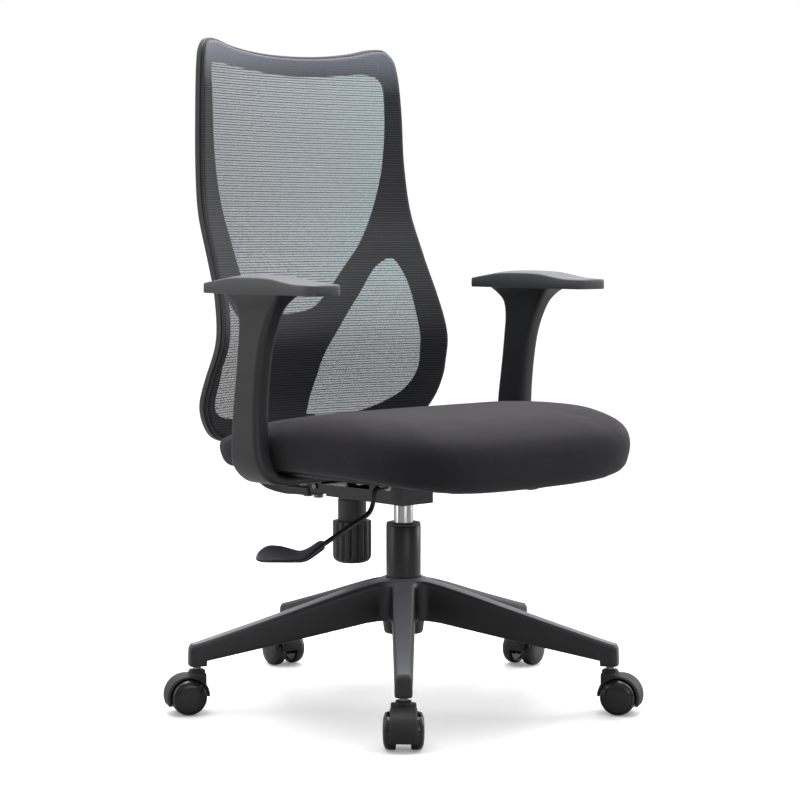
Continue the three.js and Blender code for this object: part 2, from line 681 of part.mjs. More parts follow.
function armUpright(side) {
  const points = ARM_PATH.map(([x, z]) => new THREE.Vector2(x, z));
  const rings = ARM_PATH.map(([x, z, thickness, front, rear], i) => {
    const before = points[Math.max(i - 1, 0)];
    const after = points[Math.min(i + 1, points.length - 1)];
    const along = after.clone().sub(before).normalize();
    return chamferedRectangle(thickness, rear - front, 4.5).map(([across, deep]) => new THREE.Vector3(
      side * (x + along.y * across), (front + rear) / 2 + deep, z - along.x * across,
    ));
  });
  const hole = rod(3.3, 318, 345, 8).translate(side * ARM_BOLT[0], ARM_BOLT[1], 0);
  return cut(loft(rings), hole);
}

// Stations of a pad from its rear end to its nose: y, half width, height of the top's
// middle, how far its edges are lower. The ends are square, with rounded corners.
const PAD_STATIONS = [
  [97, 25, 600, 1], [95, 28.5, 602.4, 1], [89, 30, 604, 1.5], [60, 30, 609.5, 2.5],
  [35, 30, 613, 3], [-45, 30, 613, 3], [-75, 30, 608.5, 2.5], [-98, 30, 604.6, 1.5],
  [-118, 29.6, 603.6, 1], [-126, 27, 603.2, 1], [-130, 23, 602.4, 1], [-131.5, 18, 600.5, 1],
];

function armPad(side) {
  return loft(PAD_STATIONS.map(([y, half, top, drop]) => {
    const [shoulder, edge] = [half - 2.5, half * 0.45];
    return [
      [half - 2, PAD_BOTTOM], [half, PAD_BOTTOM + 2], [half, top - drop - 3],
      [shoulder, top - drop], [edge, top], [-edge, top], [-shoulder, top - drop],
      [-half, top - drop - 3], [-half, PAD_BOTTOM + 2], [2 - half, PAD_BOTTOM],
    ].map(([x, z]) => new THREE.Vector3(side * ARM_X + x, y, z));
  }));
}

function buildSeat() {
  add('seat_pan', seatPan(), PLYWOOD);
  add('seat_cushion', seatCushion(), FABRIC);
  for (const [name, side] of SIDES) {
    const place = [side * ARM_BOLT[0], ARM_BOLT[1]];
    add(`arm_bolt_${name}`, bolt(place, 6, 320, 325, 3, 348), BRIGHT_STEEL);
    add(`arm_${name}`, armUpright(side), NYLON);
    add(`arm_pad_${name}`, armPad(side), PAD_PLASTIC);
  }
}

// ---- back ---------------------------------------------------------------------

// Middle line of the back, seen from the side: z, y.
const SIDE_LINE = [
  [350, 221], [420, 214], [465, 197], [515, 180], [570, 188], [640, 214], [700, 236],
  [770, 245], [850, 247], [910, 249], [970, 253],
];
// Half outline of the back frame, seen from the front: x, z.
const FRONT_OUTLINE = [
  [0, 934], [60, 936], [115, 942.5], [150, 950], [171, 949], [184, 936], [190, 914],
  [195, 860], [198, 780], [203, 690], [209, 600], [217, 540], [225, 490], [230, 450],
  [227, 422], [215, 398], [195, 378], [165, 368], [100, 365], [0, 365],
];

const sideSpline = new THREE.SplineCurve(SIDE_LINE.map(([z, y]) => new THREE.Vector2(z, y)));
const sideSamples = sideSpline.getPoints(200);

function backY(x, z) {
  const i = Math.max(1, sideSamples.findIndex((p) => p.x >= z));
  const [a, b] = [sideSamples[i - 1], sideSamples[i]];
  const middle = a.y + ((b.y - a.y) * (z - a.x)) / (b.x - a.x);
  return middle - BOW * x * x;
}

const RAIL_STEPS = 56;

// Points of the outline, closer together where its given points are.
function frameOutline() {
  const mirrored = FRONT_OUTLINE.slice(1, -1).reverse().map(([x, z]) => [-x, z]);
  const points = [...FRONT_OUTLINE, ...mirrored].map(([x, z]) => new THREE.Vector3(x, 0, z));
  const curve = new THREE.CatmullRomCurve3(points, true, 'centripetal');
  return Array.from({ length: RAIL_STEPS }, (_, i) => curve.getPoint(i / RAIL_STEPS));
}

// The outline moved inwards, as seen from the front.
function insetOutline(inset) {
  const points = frameOutline();
  return points.map((point, i) => {
    const ahead = points[(i + 1) % RAIL_STEPS];
    const behind = points[(i - 1 + RAIL_STEPS) % RAIL_STEPS];
    const along = ahead.clone().sub(behind).normalize();
    return { x: point.x + along.z * inset, z: point.z - along.x * inset };
  });
}

function backFrame() {
  const section = chamferedRectangle(FRAME_WIDTH, FRAME_DEPTH, 4);
  const corners = section.map(([across, deep]) => {
    const line = insetOutline(FRAME_WIDTH / 2 + across);
    return line.map(({ x, z }) => new THREE.Vector3(x, backY(x, z) + FRAME_DEPTH / 2 + deep, z));
  });
  const rings = Array.from({ length: RAIL_STEPS }, (_, i) => corners.map((line) => line[i]));
  const pad = box([-48, 48], [226, 251.7], [366, 402]);
  return cut(join(loft(rings, true), pad), ...backScrewHoles());
}

const PANEL_CORNER = 5; // outline points from the top or bottom middle to a corner

// The stretched back fabric: rows from side to side, the first and last of them
// along the top and bottom rails, as one thin curved solid inside the frame.
function meshPanel() {
  const edge = insetOutline(FRAME_WIDTH + GAP);
  const half = RAIL_STEPS / 2;
  const columns = Array.from({ length: 2 * PANEL_CORNER + 1 }, (_, j) => j - PANEL_CORNER);
  const at = (i) => edge[(i + RAIL_STEPS) % RAIL_STEPS];
  const [topCorner, bottomCorner] = [at(PANEL_CORNER), at(half - PANEL_CORNER)];
  const rows = [];
  for (let i = PANEL_CORNER; i <= half - PANEL_CORNER; i++) {
    const side = at(i);
    const fromTop = Math.max(0, 1 - (i - PANEL_CORNER) / 5);
    const fromBottom = Math.max(0, 1 - (half - PANEL_CORNER - i) / 5);
    rows.push(columns.map((j) => {
      const [top, bottom] = [at(j), at(half - j)];
      const x = side.x * THREE.MathUtils.lerp(
        top.x / topCorner.x, bottom.x / bottomCorner.x, (i - PANEL_CORNER) / (half - 2 * PANEL_CORNER),
      );
      const z = side.z + (top.z - topCorner.z) * fromTop + (bottom.z - bottomCorner.z) * fromBottom;
      return [x, z];
    }));
  }
  const layer = (offset) => rows.map((row) => row.map(([x, z]) => (
    new THREE.Vector3(x, backY(x, z) + offset, z)
  )));
  // Each row's ring runs along the front face and back along the rear face.
  const [front, rear] = [layer(0), layer(MESH_THICKNESS)];
  return loftPlates(front.map((row, i) => [...row, ...rear[i].slice().reverse()]));
}

const BACK_SCREW = [30, 384];

// Moulded support: from under the bar's end, round the rear of the seat, up to the frame.
const SUPPORT_PATH = [ // y, z, half width
  [180, 286.5, 29], [229, 286.5, 38], [258, 295, 50], [271, 312, 56], [271, 335, 56],
  [261, 360, 54], [258, 380, 52], [258, 408, 48],
];
const SUPPORT_THICKNESS = 12;

function backSupport() {
  const rings = SUPPORT_PATH.map(([y, z, half], i) => {
    const before = SUPPORT_PATH[Math.max(i - 1, 0)];
    const after = SUPPORT_PATH[Math.min(i + 1, SUPPORT_PATH.length - 1)];
    const along = new THREE.Vector2(after[0] - before[0], after[1] - before[1]).normalize();
    return chamferedRectangle(2 * half, SUPPORT_THICKNESS, 3).map(([x, across]) => new THREE.Vector3(
      x, y - along.y * across, z + along.x * across,
    ));
  });
  const holes = [
    ...BAR_BOLT_PLACES.map(([x, y]) => rod(4 + GAP, 275, 300, 8).translate(x, y, 0)),
    ...backScrewHoles(),
  ];
  return cut(loft(rings), ...holes);
}

function backScrewHoles() {
  const [x, z] = BACK_SCREW;
  return SIDES.map(([, side]) => crossRod('y', 3.3, 225, 275, [side * x, 0, z], 8));
}

function backScrew(side) {
  const place = [side * BACK_SCREW[0], 0, BACK_SCREW[1]];
  return join(crossRod('y', 3, 233, 265, place, 8), crossRod('y', 6, 264.3, 268.5, place, 10));
}

function buildBack() {
  add('back_support', backSupport(), NYLON);
  add('bar_bolt_front', bolt(BAR_BOLT_PLACES[0], 7.5, 275, 280, 4, 304), BRIGHT_STEEL);
  add('bar_bolt_rear', bolt(BAR_BOLT_PLACES[1], 7.5, 275, 280, 4, 304), BRIGHT_STEEL);
  add('back_frame', backFrame(), NYLON);
  add('mesh_panel', meshPanel(), MESH_FABRIC);
  for (const [name, side] of SIDES) add(`back_screw_${name}`, backScrew(side), BRIGHT_STEEL);
}

// ---- the whole chair ----------------------------------------------------------

buildBase();
buildColumn();
buildMechanism();
buildSeat();
buildBack();

chair.updateMatrixWorld(true);
const bounds = new THREE.Box3().setFromObject(chair, true);
const middle = bounds.getCenter(new THREE.Vector3());
const group = new THREE.Group();
chair.position.set(-middle.x, -middle.y, -bounds.min.z);
group.add(chair);

export default group;
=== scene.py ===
"""Looks for the mesh-back swivel office chair: moulded pieces, cushion, back fabric and light.

Sizes are millimetres in the chair's own frame: the column axis is x = y = 0, the sitter
faces -Y, and z = 0 is the floor. place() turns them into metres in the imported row's frame.
"""
from math import copysign, cos, exp, hypot, pi, radians, sin, sqrt, tan

import bmesh
import bpy
import numpy as np
from mathutils import Matrix, Vector


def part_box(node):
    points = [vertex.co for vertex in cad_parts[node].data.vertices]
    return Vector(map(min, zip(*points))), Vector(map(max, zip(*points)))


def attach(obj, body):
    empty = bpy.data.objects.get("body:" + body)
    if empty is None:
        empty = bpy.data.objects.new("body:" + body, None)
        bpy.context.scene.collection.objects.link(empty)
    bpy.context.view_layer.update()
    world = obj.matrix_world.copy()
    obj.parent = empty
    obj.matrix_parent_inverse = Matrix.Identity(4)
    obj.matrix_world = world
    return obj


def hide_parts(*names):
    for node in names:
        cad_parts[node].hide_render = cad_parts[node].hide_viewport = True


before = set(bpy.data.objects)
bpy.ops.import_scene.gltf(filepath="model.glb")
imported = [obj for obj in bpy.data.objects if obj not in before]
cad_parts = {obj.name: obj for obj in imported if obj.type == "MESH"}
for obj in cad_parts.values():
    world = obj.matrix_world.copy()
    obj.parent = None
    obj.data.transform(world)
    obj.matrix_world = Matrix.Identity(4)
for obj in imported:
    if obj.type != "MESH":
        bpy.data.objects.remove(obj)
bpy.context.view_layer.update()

SCENE = bpy.context.scene
MM = 0.001
TUBE_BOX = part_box("gas_outer_tube")
COLUMN = (TUBE_BOX[0] + TUBE_BOX[1]) / 2

ARM_COUNT = 5
FIRST_ARM = radians(227.5)  # direction of the first base arm, from +X
STEM_RADIUS = 304
CASTOR_TRAIL = 15
WHEEL_RADIUS = 25
KNOB_Y = 112
ARMREST_X = 256
SIDES = (("right", -1), ("left", 1))  # the sitter's right is at -X


def place(x, y, z):
    """A point of the chair's frame, in mm, as a point of the row frame, in metres."""
    return Vector((COLUMN.x + x * MM, COLUMN.y + y * MM, z * MM))


# ---- node trees ------------------------------


class Graph:
    """The node tree of a new material or world, with short calls to add and link nodes."""

    def __init__(self, name, kind=bpy.data.materials):
        self.owner = kind.new(name)
        self.owner.use_nodes = True
        self.tree = self.owner.node_tree
        self.tree.nodes.clear()

    def node(self, kind, sockets=None, **properties):
        """Adds a node, named without ShaderNode, and sets or links its sockets."""
        made = self.tree.nodes.new("ShaderNode" + kind)
        for key, value in properties.items():
            setattr(made, key, value)
        for key, value in (sockets or {}).items():
            if isinstance(value, bpy.types.NodeSocket):
                self.tree.links.new(value, made.inputs[key])
            else:
                made.inputs[key].default_value = value
        return made

    def math(self, operation, *values):
        return self.node("Math", dict(enumerate(values)), operation=operation).outputs[0]

    def blend(self, share, first, second):
        """A colour between first and second."""
        sockets = {0: share, 6: first, 7: second}  # 6, 7 and output 2 are its colours
        return self.node("Mix", sockets, data_type="RGBA").outputs[2]

    def noise(self, scale, detail=2.0, roughness=0.5):
        where = self.node("TexCoord").outputs["Object"]
        sockets = {"Vector": where, "Scale": scale, "Detail": detail, "Roughness": roughness}
        return self.node("TexNoise", sockets).outputs["Fac"]

    def between(self, value, low, high):
        """Maps a 0 to 1 value onto low to high."""
        sockets = {"Value": value, "To Min": low, "To Max": high}
        return self.node("MapRange", sockets).outputs["Result"]

    def share_of(self, value, low, high):
        """How far a value is from low to high, as 0 to 1."""
        sockets = {"Value": value, "From Min": low, "From Max": high}
        return self.node("MapRange", sockets).outputs["Result"]

    def bump(self, height, strength, distance):
        sockets = {"Height": height, "Strength": strength, "Distance": distance}
        return self.node("Bump", sockets).outputs["Normal"]

    def finish(self, sockets):
        """Ends a material with one principled shader."""
        shader = self.node("BsdfPrincipled", sockets)
        self.node("OutputMaterial", {"Surface": shader.outputs["BSDF"]})
        return self.owner


def grey(level, blue=1.0):
    """A linear grey, with its blue channel scaled."""
    return (level, level, level * blue, 1.0)


def moulded(name, level, roughness, blue=1.08, grain=0.25, grain_scale=1400.0, dust_and_painted_light=0.0):
    """Moulded plastic: fine grain, slow changes of tone and gloss, and painted light on upper
    faces, which are blended towards a lighter grey.
    """
    g = Graph(name)
    tone = g.noise(18.0, 3.0)
    fine = g.noise(grain_scale, 1.0)
    colour = g.blend(tone, grey(level * 0.85, blue), grey(level * 1.15, blue))
    # Painted light: the more a face points up, the nearer its colour comes to a lighter grey,
    # standing in for light from above.
    if dust_and_painted_light:
        normal = g.node("NewGeometry").outputs["Normal"]
        up = g.node("SeparateXYZ", {"Vector": normal}).outputs[2]
        lying = g.math("POWER", g.math("MAXIMUM", up, 0.0), 4.0)
        painted_top_light = g.math("MULTIPLY", lying, g.between(g.noise(120.0, 4.0, 0.65), 0.75, 1.0))
        colour = g.blend(painted_top_light, colour, grey(dust_and_painted_light, blue))
    gloss = g.between(g.noise(60.0, 4.0, 0.6), roughness - 0.05, roughness + 0.06)
    return g.finish({
        "Base Color": colour, "Roughness": gloss, "Specular IOR Level": 0.5,
        "Normal": g.bump(fine, grain, 0.00012),
    })


def metal(name, level, roughness, brushed=0.0):
    """Bright metal with a faint uneven polish, and fine lines where it is brushed."""
    g = Graph(name)
    smear = g.noise(90.0, 4.0, 0.65)
    gloss = g.between(smear, roughness * 0.8, roughness * 1.35)
    lines = g.noise(1200.0, 1.0)
    return g.finish({
        "Base Color": g.blend(smear, grey(level * 0.94, 1.02), grey(level, 1.02)),
        "Roughness": gloss, "Metallic": 1.0, "Normal": g.bump(lines, brushed, 0.00005),
    })


def painted(name, level, roughness, blue=1.1):
    """Powder coat on steel: smooth, with a faint orange peel."""
    g = Graph(name)
    peel = g.noise(900.0, 2.0, 0.5)
    colour = g.blend(g.noise(25.0, 3.0), grey(level * 0.9, blue), grey(level * 1.1, blue))
    gloss = g.between(g.noise(70.0, 3.0), roughness - 0.04, roughness + 0.05)
    return g.finish({
        "Base Color": colour, "Roughness": gloss, "Coat Weight": 0.15, "Coat Roughness": 0.25,
        "Normal": g.bump(peel, 0.08, 0.00015),
    })


SEAT_THREAD_PITCH = 1.3  # mm


def seat_fabric():
    """Plain fine weave over foam: crossed threads, mottled yarn, soft sheen."""
    g = Graph("seat_fabric")
    where = g.node("TexCoord").outputs["Object"]
    axes = g.node("SeparateXYZ", {"Vector": where}).outputs
    thread = 2 * pi / (SEAT_THREAD_PITCH * MM)
    waves = [g.math("SINE", g.math("MULTIPLY", axis, thread)) for axis in axes]
    pair = g.math("MULTIPLY", waves[0], waves[1])
    weave = g.math("ADD", pair, g.math("MULTIPLY", waves[2], 0.5))
    yarn = g.noise(900.0, 3.0, 0.7)
    patch = g.noise(22.0, 3.0, 0.6)
    height = g.math("ADD", g.math("MULTIPLY", weave, 0.35), yarn)
    shade = g.math("ADD", g.math("MULTIPLY", yarn, 0.7), g.math("MULTIPLY", patch, 0.3))
    colour = g.blend(shade, (0.0045, 0.0042, 0.0046, 1), (0.027, 0.025, 0.0275, 1))
    return g.finish({
        "Base Color": colour, "Roughness": 0.9, "Specular IOR Level": 0.15,
        "Sheen Weight": 0.14, "Sheen Roughness": 0.5, "Sheen Tint": (0.9, 0.86, 0.95, 1),
        "Normal": g.bump(height, 0.4, 0.0004),
    })


THREAD_PITCH = 3.7  # mm between the back fabric's heavy cross threads
RIB_WIDTH = 0.3  # share of the pitch that a heavy thread takes
STRAND_PITCH = 1.25  # mm between the fine upright strands
STRAND_WIDTH = 0.7  # share of the pitch, and a little more low down
# From FABRIC_HIGH to FABRIC_TOP the painted sheen on the top band fades in.
FABRIC_LOW, FABRIC_HIGH, FABRIC_TOP = 480, 880, 940  # heights where the fabric's tone changes
FABRIC_SIDE = 170  # the tone changes from this far on one side to this far on the other


def back_fabric():
    """Jacquard mesh: solid ribbed bands, and windows of heavy cross threads with fine strands.

    The mesh carries two attributes in mm: weave (across, up) and window (how far inside).
    The yarn's tone changes slowly: darker low down and towards the sitter's right. Near the top the
    bands carry a painted sheen, a lighter blue-grey."""
    g = Graph("back_fabric")
    weave = g.node("Attribute", attribute_name="weave").outputs["Vector"]
    across, up, _ = g.node("SeparateXYZ", {"Vector": weave}).outputs
    window = g.node("Attribute", attribute_name="window").outputs["Fac"]

    row = g.math("FRACT", g.math("DIVIDE", up, THREAD_PITCH))
    pair = g.math("FRACT", g.math("DIVIDE", up, 2 * THREAD_PITCH))
    every_second = g.math("GREATER_THAN", pair, 0.5)
    from_rib = g.math("ABSOLUTE", g.math("SUBTRACT", row, 0.5))
    wander = g.math("MULTIPLY", g.math("SUBTRACT", g.noise(420.0, 2.0), 0.5), 0.16)
    half_rib = g.between(every_second, RIB_WIDTH * 0.42, RIB_WIDTH * 0.58)
    rib = g.math("LESS_THAN", g.math("ADD", from_rib, wander), half_rib)
    height = g.share_of(up, FABRIC_LOW, FABRIC_HIGH)
    column = g.math("FRACT", g.math("DIVIDE", across, STRAND_PITCH))
    strand_width = g.between(height, STRAND_WIDTH + 0.08, STRAND_WIDTH)
    strand = g.math("LESS_THAN", column, strand_width)
    stepped = g.math("SUBTRACT", window, g.math("MULTIPLY", g.math("SUBTRACT", row, 0.5), 1.1))
    inside = g.math("GREATER_THAN", stepped, 0.0)
    solid = g.math("MAXIMUM", g.math("MULTIPLY", rib, 0.95), g.math("MULTIPLY", strand, 0.96))
    opacity = g.math("SUBTRACT", 1.0, g.math("MULTIPLY", inside, g.math("SUBTRACT", 1.0, solid)))

    width = g.share_of(across, -FABRIC_SIDE, FABRIC_SIDE)
    low = g.blend(width, (0.03, 0.031, 0.04, 1), (0.09, 0.17, 0.17, 1))
    high = g.blend(width, (0.08, 0.086, 0.12, 1), (0.23, 0.36, 0.4, 1))
    open_yarn = g.blend(height, low, high)
    open_rib = g.blend(0.62, open_yarn, (0.012, 0.013, 0.016, 1))
    yarn = g.noise(700.0, 3.0, 0.7)
    band = g.blend(yarn, (0.006, 0.0061, 0.0068, 1), (0.031, 0.0312, 0.035, 1))
    ribbed = g.blend(g.math("MULTIPLY", rib, 0.6), band, (0.07, 0.071, 0.082, 1))
    # Painted sheen: near the top of the back the solid bands blend towards a light blue-grey,
    # standing in for light on the top band.
    near_top = g.share_of(up, FABRIC_HIGH, FABRIC_TOP)
    painted_top_sheen = g.blend(yarn, (0.1, 0.11, 0.14, 1), (0.4, 0.425, 0.5, 1))
    ribbed = g.blend(g.math("MULTIPLY", near_top, 0.8), ribbed, painted_top_sheen)
    colour = g.blend(inside, ribbed, g.blend(rib, open_yarn, open_rib))
    relief = g.math("ADD", g.math("MULTIPLY", g.math("SUBTRACT", 0.5, from_rib), 1.2),
                    g.math("MULTIPLY", yarn, 0.4))
    return g.finish({
        "Base Color": colour, "Alpha": opacity, "Roughness": 0.6, "Specular IOR Level": 0.28,
        "Sheen Weight": 0.06, "Sheen Roughness": 0.4, "Normal": g.bump(relief, 0.3, 0.0005),
    })


def plywood():
    """Moulded plywood under the seat, stained black: long grain under a matt varnish."""
    g = Graph("plywood")
    where = g.node("TexCoord").outputs["Object"]
    stretch = {"Vector": where, "Scale": (140.0, 9.0, 140.0)}
    stretched = g.node("Mapping", stretch).outputs[0]
    sockets = {"Vector": stretched, "Scale": 1.0, "Detail": 6.0, "Roughness": 0.65}
    grain = g.node("TexNoise", sockets).outputs["Fac"]
    colour = g.blend(grain, (0.006, 0.005, 0.004, 1), (0.022, 0.018, 0.014, 1))
    return g.finish({"Base Color": colour, "Roughness": g.between(grain, 0.5, 0.68),
                     "Normal": g.bump(grain, 0.2, 0.0003)})


def rubber():
    """Matt black rubber with dust in its pores."""
    g = Graph("buffer_rubber")
    dust_and_painted_light = g.noise(300.0, 5.0, 0.7)
    return g.finish({
        "Base Color": g.blend(dust_and_painted_light, grey(0.008), grey(0.02)),
        "Roughness": g.between(dust_and_painted_light, 0.75, 0.95), "Normal": g.bump(dust_and_painted_light, 0.3, 0.0002),
    })


NYLON = moulded("nylon", 0.016, 0.45, blue=1.15)
# The base, the arm pads and the lever paddle carry painted light: their upward faces are lighter.
BASE_NYLON = moulded("base_nylon", 0.011, 0.42, blue=1.15, dust_and_painted_light=0.27)
CASTOR_NYLON = moulded("castor_nylon", 0.004, 0.55, blue=1.15, grain=0.35)
SOFT_NYLON = moulded("soft_nylon", 0.036, 0.5, grain=0.35)
PAD_PLASTIC = moulded("pad_plastic", 0.058, 0.5, grain=0.3, grain_scale=1900.0, dust_and_painted_light=0.14)
WHEEL_NYLON = moulded("wheel_nylon", 0.005, 0.2, blue=1.2, grain=0.06)
LEVER_PLASTIC = moulded("lever_plastic", 0.012, 0.22, grain=0.1, dust_and_painted_light=0.16)
ACETAL = moulded("acetal", 0.6, 0.35, blue=0.97, grain=0.05)
BLACK_STEEL = painted("black_steel", 0.008, 0.42)
TUBE_PAINT = painted("tube_paint", 0.004, 0.38, blue=1.6)
CHROME = metal("chrome", 0.7, 0.2)
STEEL = metal("steel", 0.2, 0.34, brushed=0.2)
BUFFER_RUBBER = rubber()
PLYWOOD = plywood()
SEAT_FABRIC = seat_fabric()
BACK_FABRIC = back_fabric()


# ---- shapes: (points, faces) in mm -----------


def turns(count):
    """Equal steps of a full turn, from zero."""
    return [2 * pi * i / count for i in range(count)]


def turned(profile, segments=64):
    """A closed body turned about +Z from (radius, z) pairs; only its ends are on the axis."""
    points, rows = [], []
    for radius, z in profile:
        if radius < 1e-6:
            rows.append([len(points)])
            points.append((0.0, 0.0, z))
            continue
        rows.append(range(len(points), len(points) + segments))
        points += [(radius * cos(t), radius * sin(t), z) for t in turns(segments)]
    faces = []
    for low, high in zip(rows, rows[1:]):
        for i in range(segments):
            k = (i + 1) % segments
            if len(low) == 1:
                faces.append((low[0], high[k], high[i]))
            elif len(high) == 1:
                faces.append((low[i], low[k], high[0]))
            else:
                faces.append((low[i], low[k], high[k], high[i]))
    return points, faces


def lofted(rings, looped=False):
    """Skins rings of equal length; the ends are capped, or joined when looped."""
    count = len(rings[0])
    points = [tuple(p) for ring in rings for p in ring]
    faces = []
    for i in range(len(rings) if looped else len(rings) - 1):
        a, b = i * count, (i + 1) % len(rings) * count
        for j in range(count):
            k = (j + 1) % count
            faces.append((a + j, a + k, b + k, b + j))
    if not looped:
        faces.append(tuple(reversed(range(count))))
        faces.append(tuple(range(len(points) - count, len(points))))
    return points, faces


def grid_faces(rows, count):
    """Quads of an open grid of rows, each of count points."""
    return [(i * count + j, i * count + j + 1, (i + 1) * count + j + 1, (i + 1) * count + j)
            for i in range(rows - 1) for j in range(count - 1)]


def heading(stations, i):
    """The unit direction of a path at station i, from each station's first two values."""
    before, after = stations[max(i - 1, 0)], stations[min(i + 1, len(stations) - 1)]
    return Vector((after[0] - before[0], after[1] - before[1])).normalized()


def merged(*shapes):
    """Several shapes as one."""
    points, faces = [], []
    for more, skin in shapes:
        faces += [tuple(i + len(points) for i in face) for face in skin]
        points += more
    return points, faces


def moved(shape, x=0.0, y=0.0, z=0.0, turn=0.0, axis="Z"):
    """A shape turned about an axis through the origin, then shifted."""
    matrix = Matrix.Translation((x, y, z)) @ Matrix.Rotation(turn, 4, axis)
    return [tuple(matrix @ Vector(p)) for p in shape[0]], shape[1]


def spline(points, steps, looped=False):
    """Centripetal Catmull-Rom through points of any dimension, steps per span."""
    p = np.array(points, float)
    if looped:
        p = np.vstack([p[-1:], p, p[:2]])
    else:
        p = np.vstack([2 * p[:1] - p[1:2], p, 2 * p[-1:] - p[-2:-1]])
    made = []
    for a, b, c, d in zip(p, p[1:], p[2:], p[3:]):
        gaps = [max(np.linalg.norm(v - u), 1e-6) ** 0.5 for u, v in ((a, b), (b, c), (c, d))]
        first = ((b - a) / gaps[0] - (c - a) / (gaps[0] + gaps[1]) + (c - b) / gaps[1]) * gaps[1]
        last = ((c - b) / gaps[1] - (d - b) / (gaps[1] + gaps[2]) + (d - c) / gaps[2]) * gaps[1]
        for t in np.linspace(0, 1, steps, endpoint=False):
            made.append(b + first * t + (-3 * b + 3 * c - 2 * first - last) * t * t
                        + (2 * b - 2 * c + first + last) * t ** 3)
    if not looped:
        made.append(p[-2])
    return [tuple(float(v) for v in point) for point in made]


def rounded_rectangle(width, height, radius, steps=5):
    """Corners as arcs, anticlockwise from the lower right, centred on (0, 0)."""
    points = []
    for cx, cy, start in ((1, -1, -90), (1, 1, 0), (-1, 1, 90), (-1, -1, 180)):
        for i in range(steps + 1):
            turn = radians(start + 90 * i / steps)
            points.append((cx * (width / 2 - radius) + radius * cos(turn),
                           cy * (height / 2 - radius) + radius * sin(turn)))
    return points


# ---- pieces ----------------------------------


def add_object(name, data):
    """A new object in the scene."""
    made = bpy.data.objects.new(name, data)
    SCENE.collection.objects.link(made)
    return made


def make(name, shape, material, body, replaces=(), bevel=0.0, smooth=35):
    """One object from a shape: welded, smooth up to an angle, riding on a body."""
    mesh = bpy.data.meshes.new(name)
    mesh.from_pydata([place(*p) for p in shape[0]], [], shape[1])
    bm = bmesh.new()
    bm.from_mesh(mesh)
    bmesh.ops.remove_doubles(bm, verts=bm.verts, dist=0.00001)
    bmesh.ops.recalc_face_normals(bm, faces=bm.faces)
    bm.to_mesh(mesh)
    bm.free()
    mesh.shade_smooth()
    mesh.set_sharp_from_angle(angle=radians(smooth))
    mesh.materials.append(material)
    piece = add_object(name, mesh)
    if bevel:
        soften(piece, bevel)
    if body:
        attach(piece, body)
    if replaces:
        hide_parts(*replaces)
    return piece


def soften(piece, width):
    """Rounds a piece's sharp edges by width, in mm."""
    edge = piece.modifiers.new("edges", "BEVEL")
    edge.width = width * MM
    edge.segments = 2
    edge.limit_method = "ANGLE"
    edge.angle_limit = radians(38)
    edge.harden_normals = True


def carry(node, material, bevel=0.0):
    """Keeps a CAD node in view with a better material and softer edges."""
    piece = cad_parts[node]
    piece.data.materials.clear()
    piece.data.materials.append(material)
    piece.data.shade_smooth()
    piece.data.set_sharp_from_angle(angle=radians(32))
    if bevel:
        soften(piece, bevel)


# ---- star base -------------------------------

ARM_TIP = 316
ARM_HALF_WIDTH = 17.7  # carried in to the column axis
ARM_TAPER = radians(1.1)
HUB_FILLET = 16
TIP_CORNER = 7
HUB_HOLE = 25.4
HUB_BLEND = 14  # how far the hub's curve fades out along an arm's top
BASE_WALL = 3
# An arm's top and lower edge, out from the column: x, z.
TOP_LINE = spline([(18, 177.5), (60, 168.5), (95, 159), (169, 137), (256, 112), (304, 98.7),
                   (ARM_TIP, 96)], 8)
UNDER_LINE = [(18, 119), (60, 115), (95, 108.5), (169, 95), (256, 79.7), (291.8, 73.5),
              (292.2, 66), (ARM_TIP, 66)]
# The skirt's profile below the top face: how far in from the outline, and how far down.
SHOULDER = ((4.8, 0.0), (4.2, 0.15), (3.6, 0.6), (1.5, 4.3), (1.0, 5.3), (0.6, 8.0))
LOWER_EDGE = ((0.0, 7.0), (0.0, 2.0), (0.5, 0.6), (1.6, 0.0))
TOP_COLUMNS = np.linspace(-1, 1, 9)


def height_on(line, x):
    """The second value of a line of (x, value) pairs, at x."""
    return float(np.interp(x, [p[0] for p in line], [p[1] for p in line]))


def arm_side():
    """One side of a base arm from above: (x, y, outward normal), hub fillet to tip corner."""
    reach = ARM_HALF_WIDTH * cos(ARM_TAPER)
    bisector = pi / ARM_COUNT
    centre = (HUB_FILLET + reach) / sin(bisector + ARM_TAPER)
    cx, cy = centre * cos(bisector), centre * sin(bisector)
    side = []
    for turn in np.linspace(pi + bisector, 1.5 * pi - ARM_TAPER, 9):
        c, s = cos(turn), sin(turn)
        side.append((cx + HUB_FILLET * c, cy + HUB_FILLET * s, -c, -s))
    nx, ny = sin(ARM_TAPER), cos(ARM_TAPER)
    straight = [*np.linspace(60, 280, 12), 291.7, 292.3, 300]
    side += [(x, (reach - x * nx) / ny, nx, ny) for x in straight]
    corner_x = ARM_TIP - TIP_CORNER
    corner_y = (reach - corner_x * nx) / ny - TIP_CORNER
    for turn in np.linspace(pi / 2 - ARM_TAPER, 0, 6):
        c, s = cos(turn), sin(turn)
        side.append((corner_x + TIP_CORNER * c, corner_y + TIP_CORNER * s, c, s))
    return side


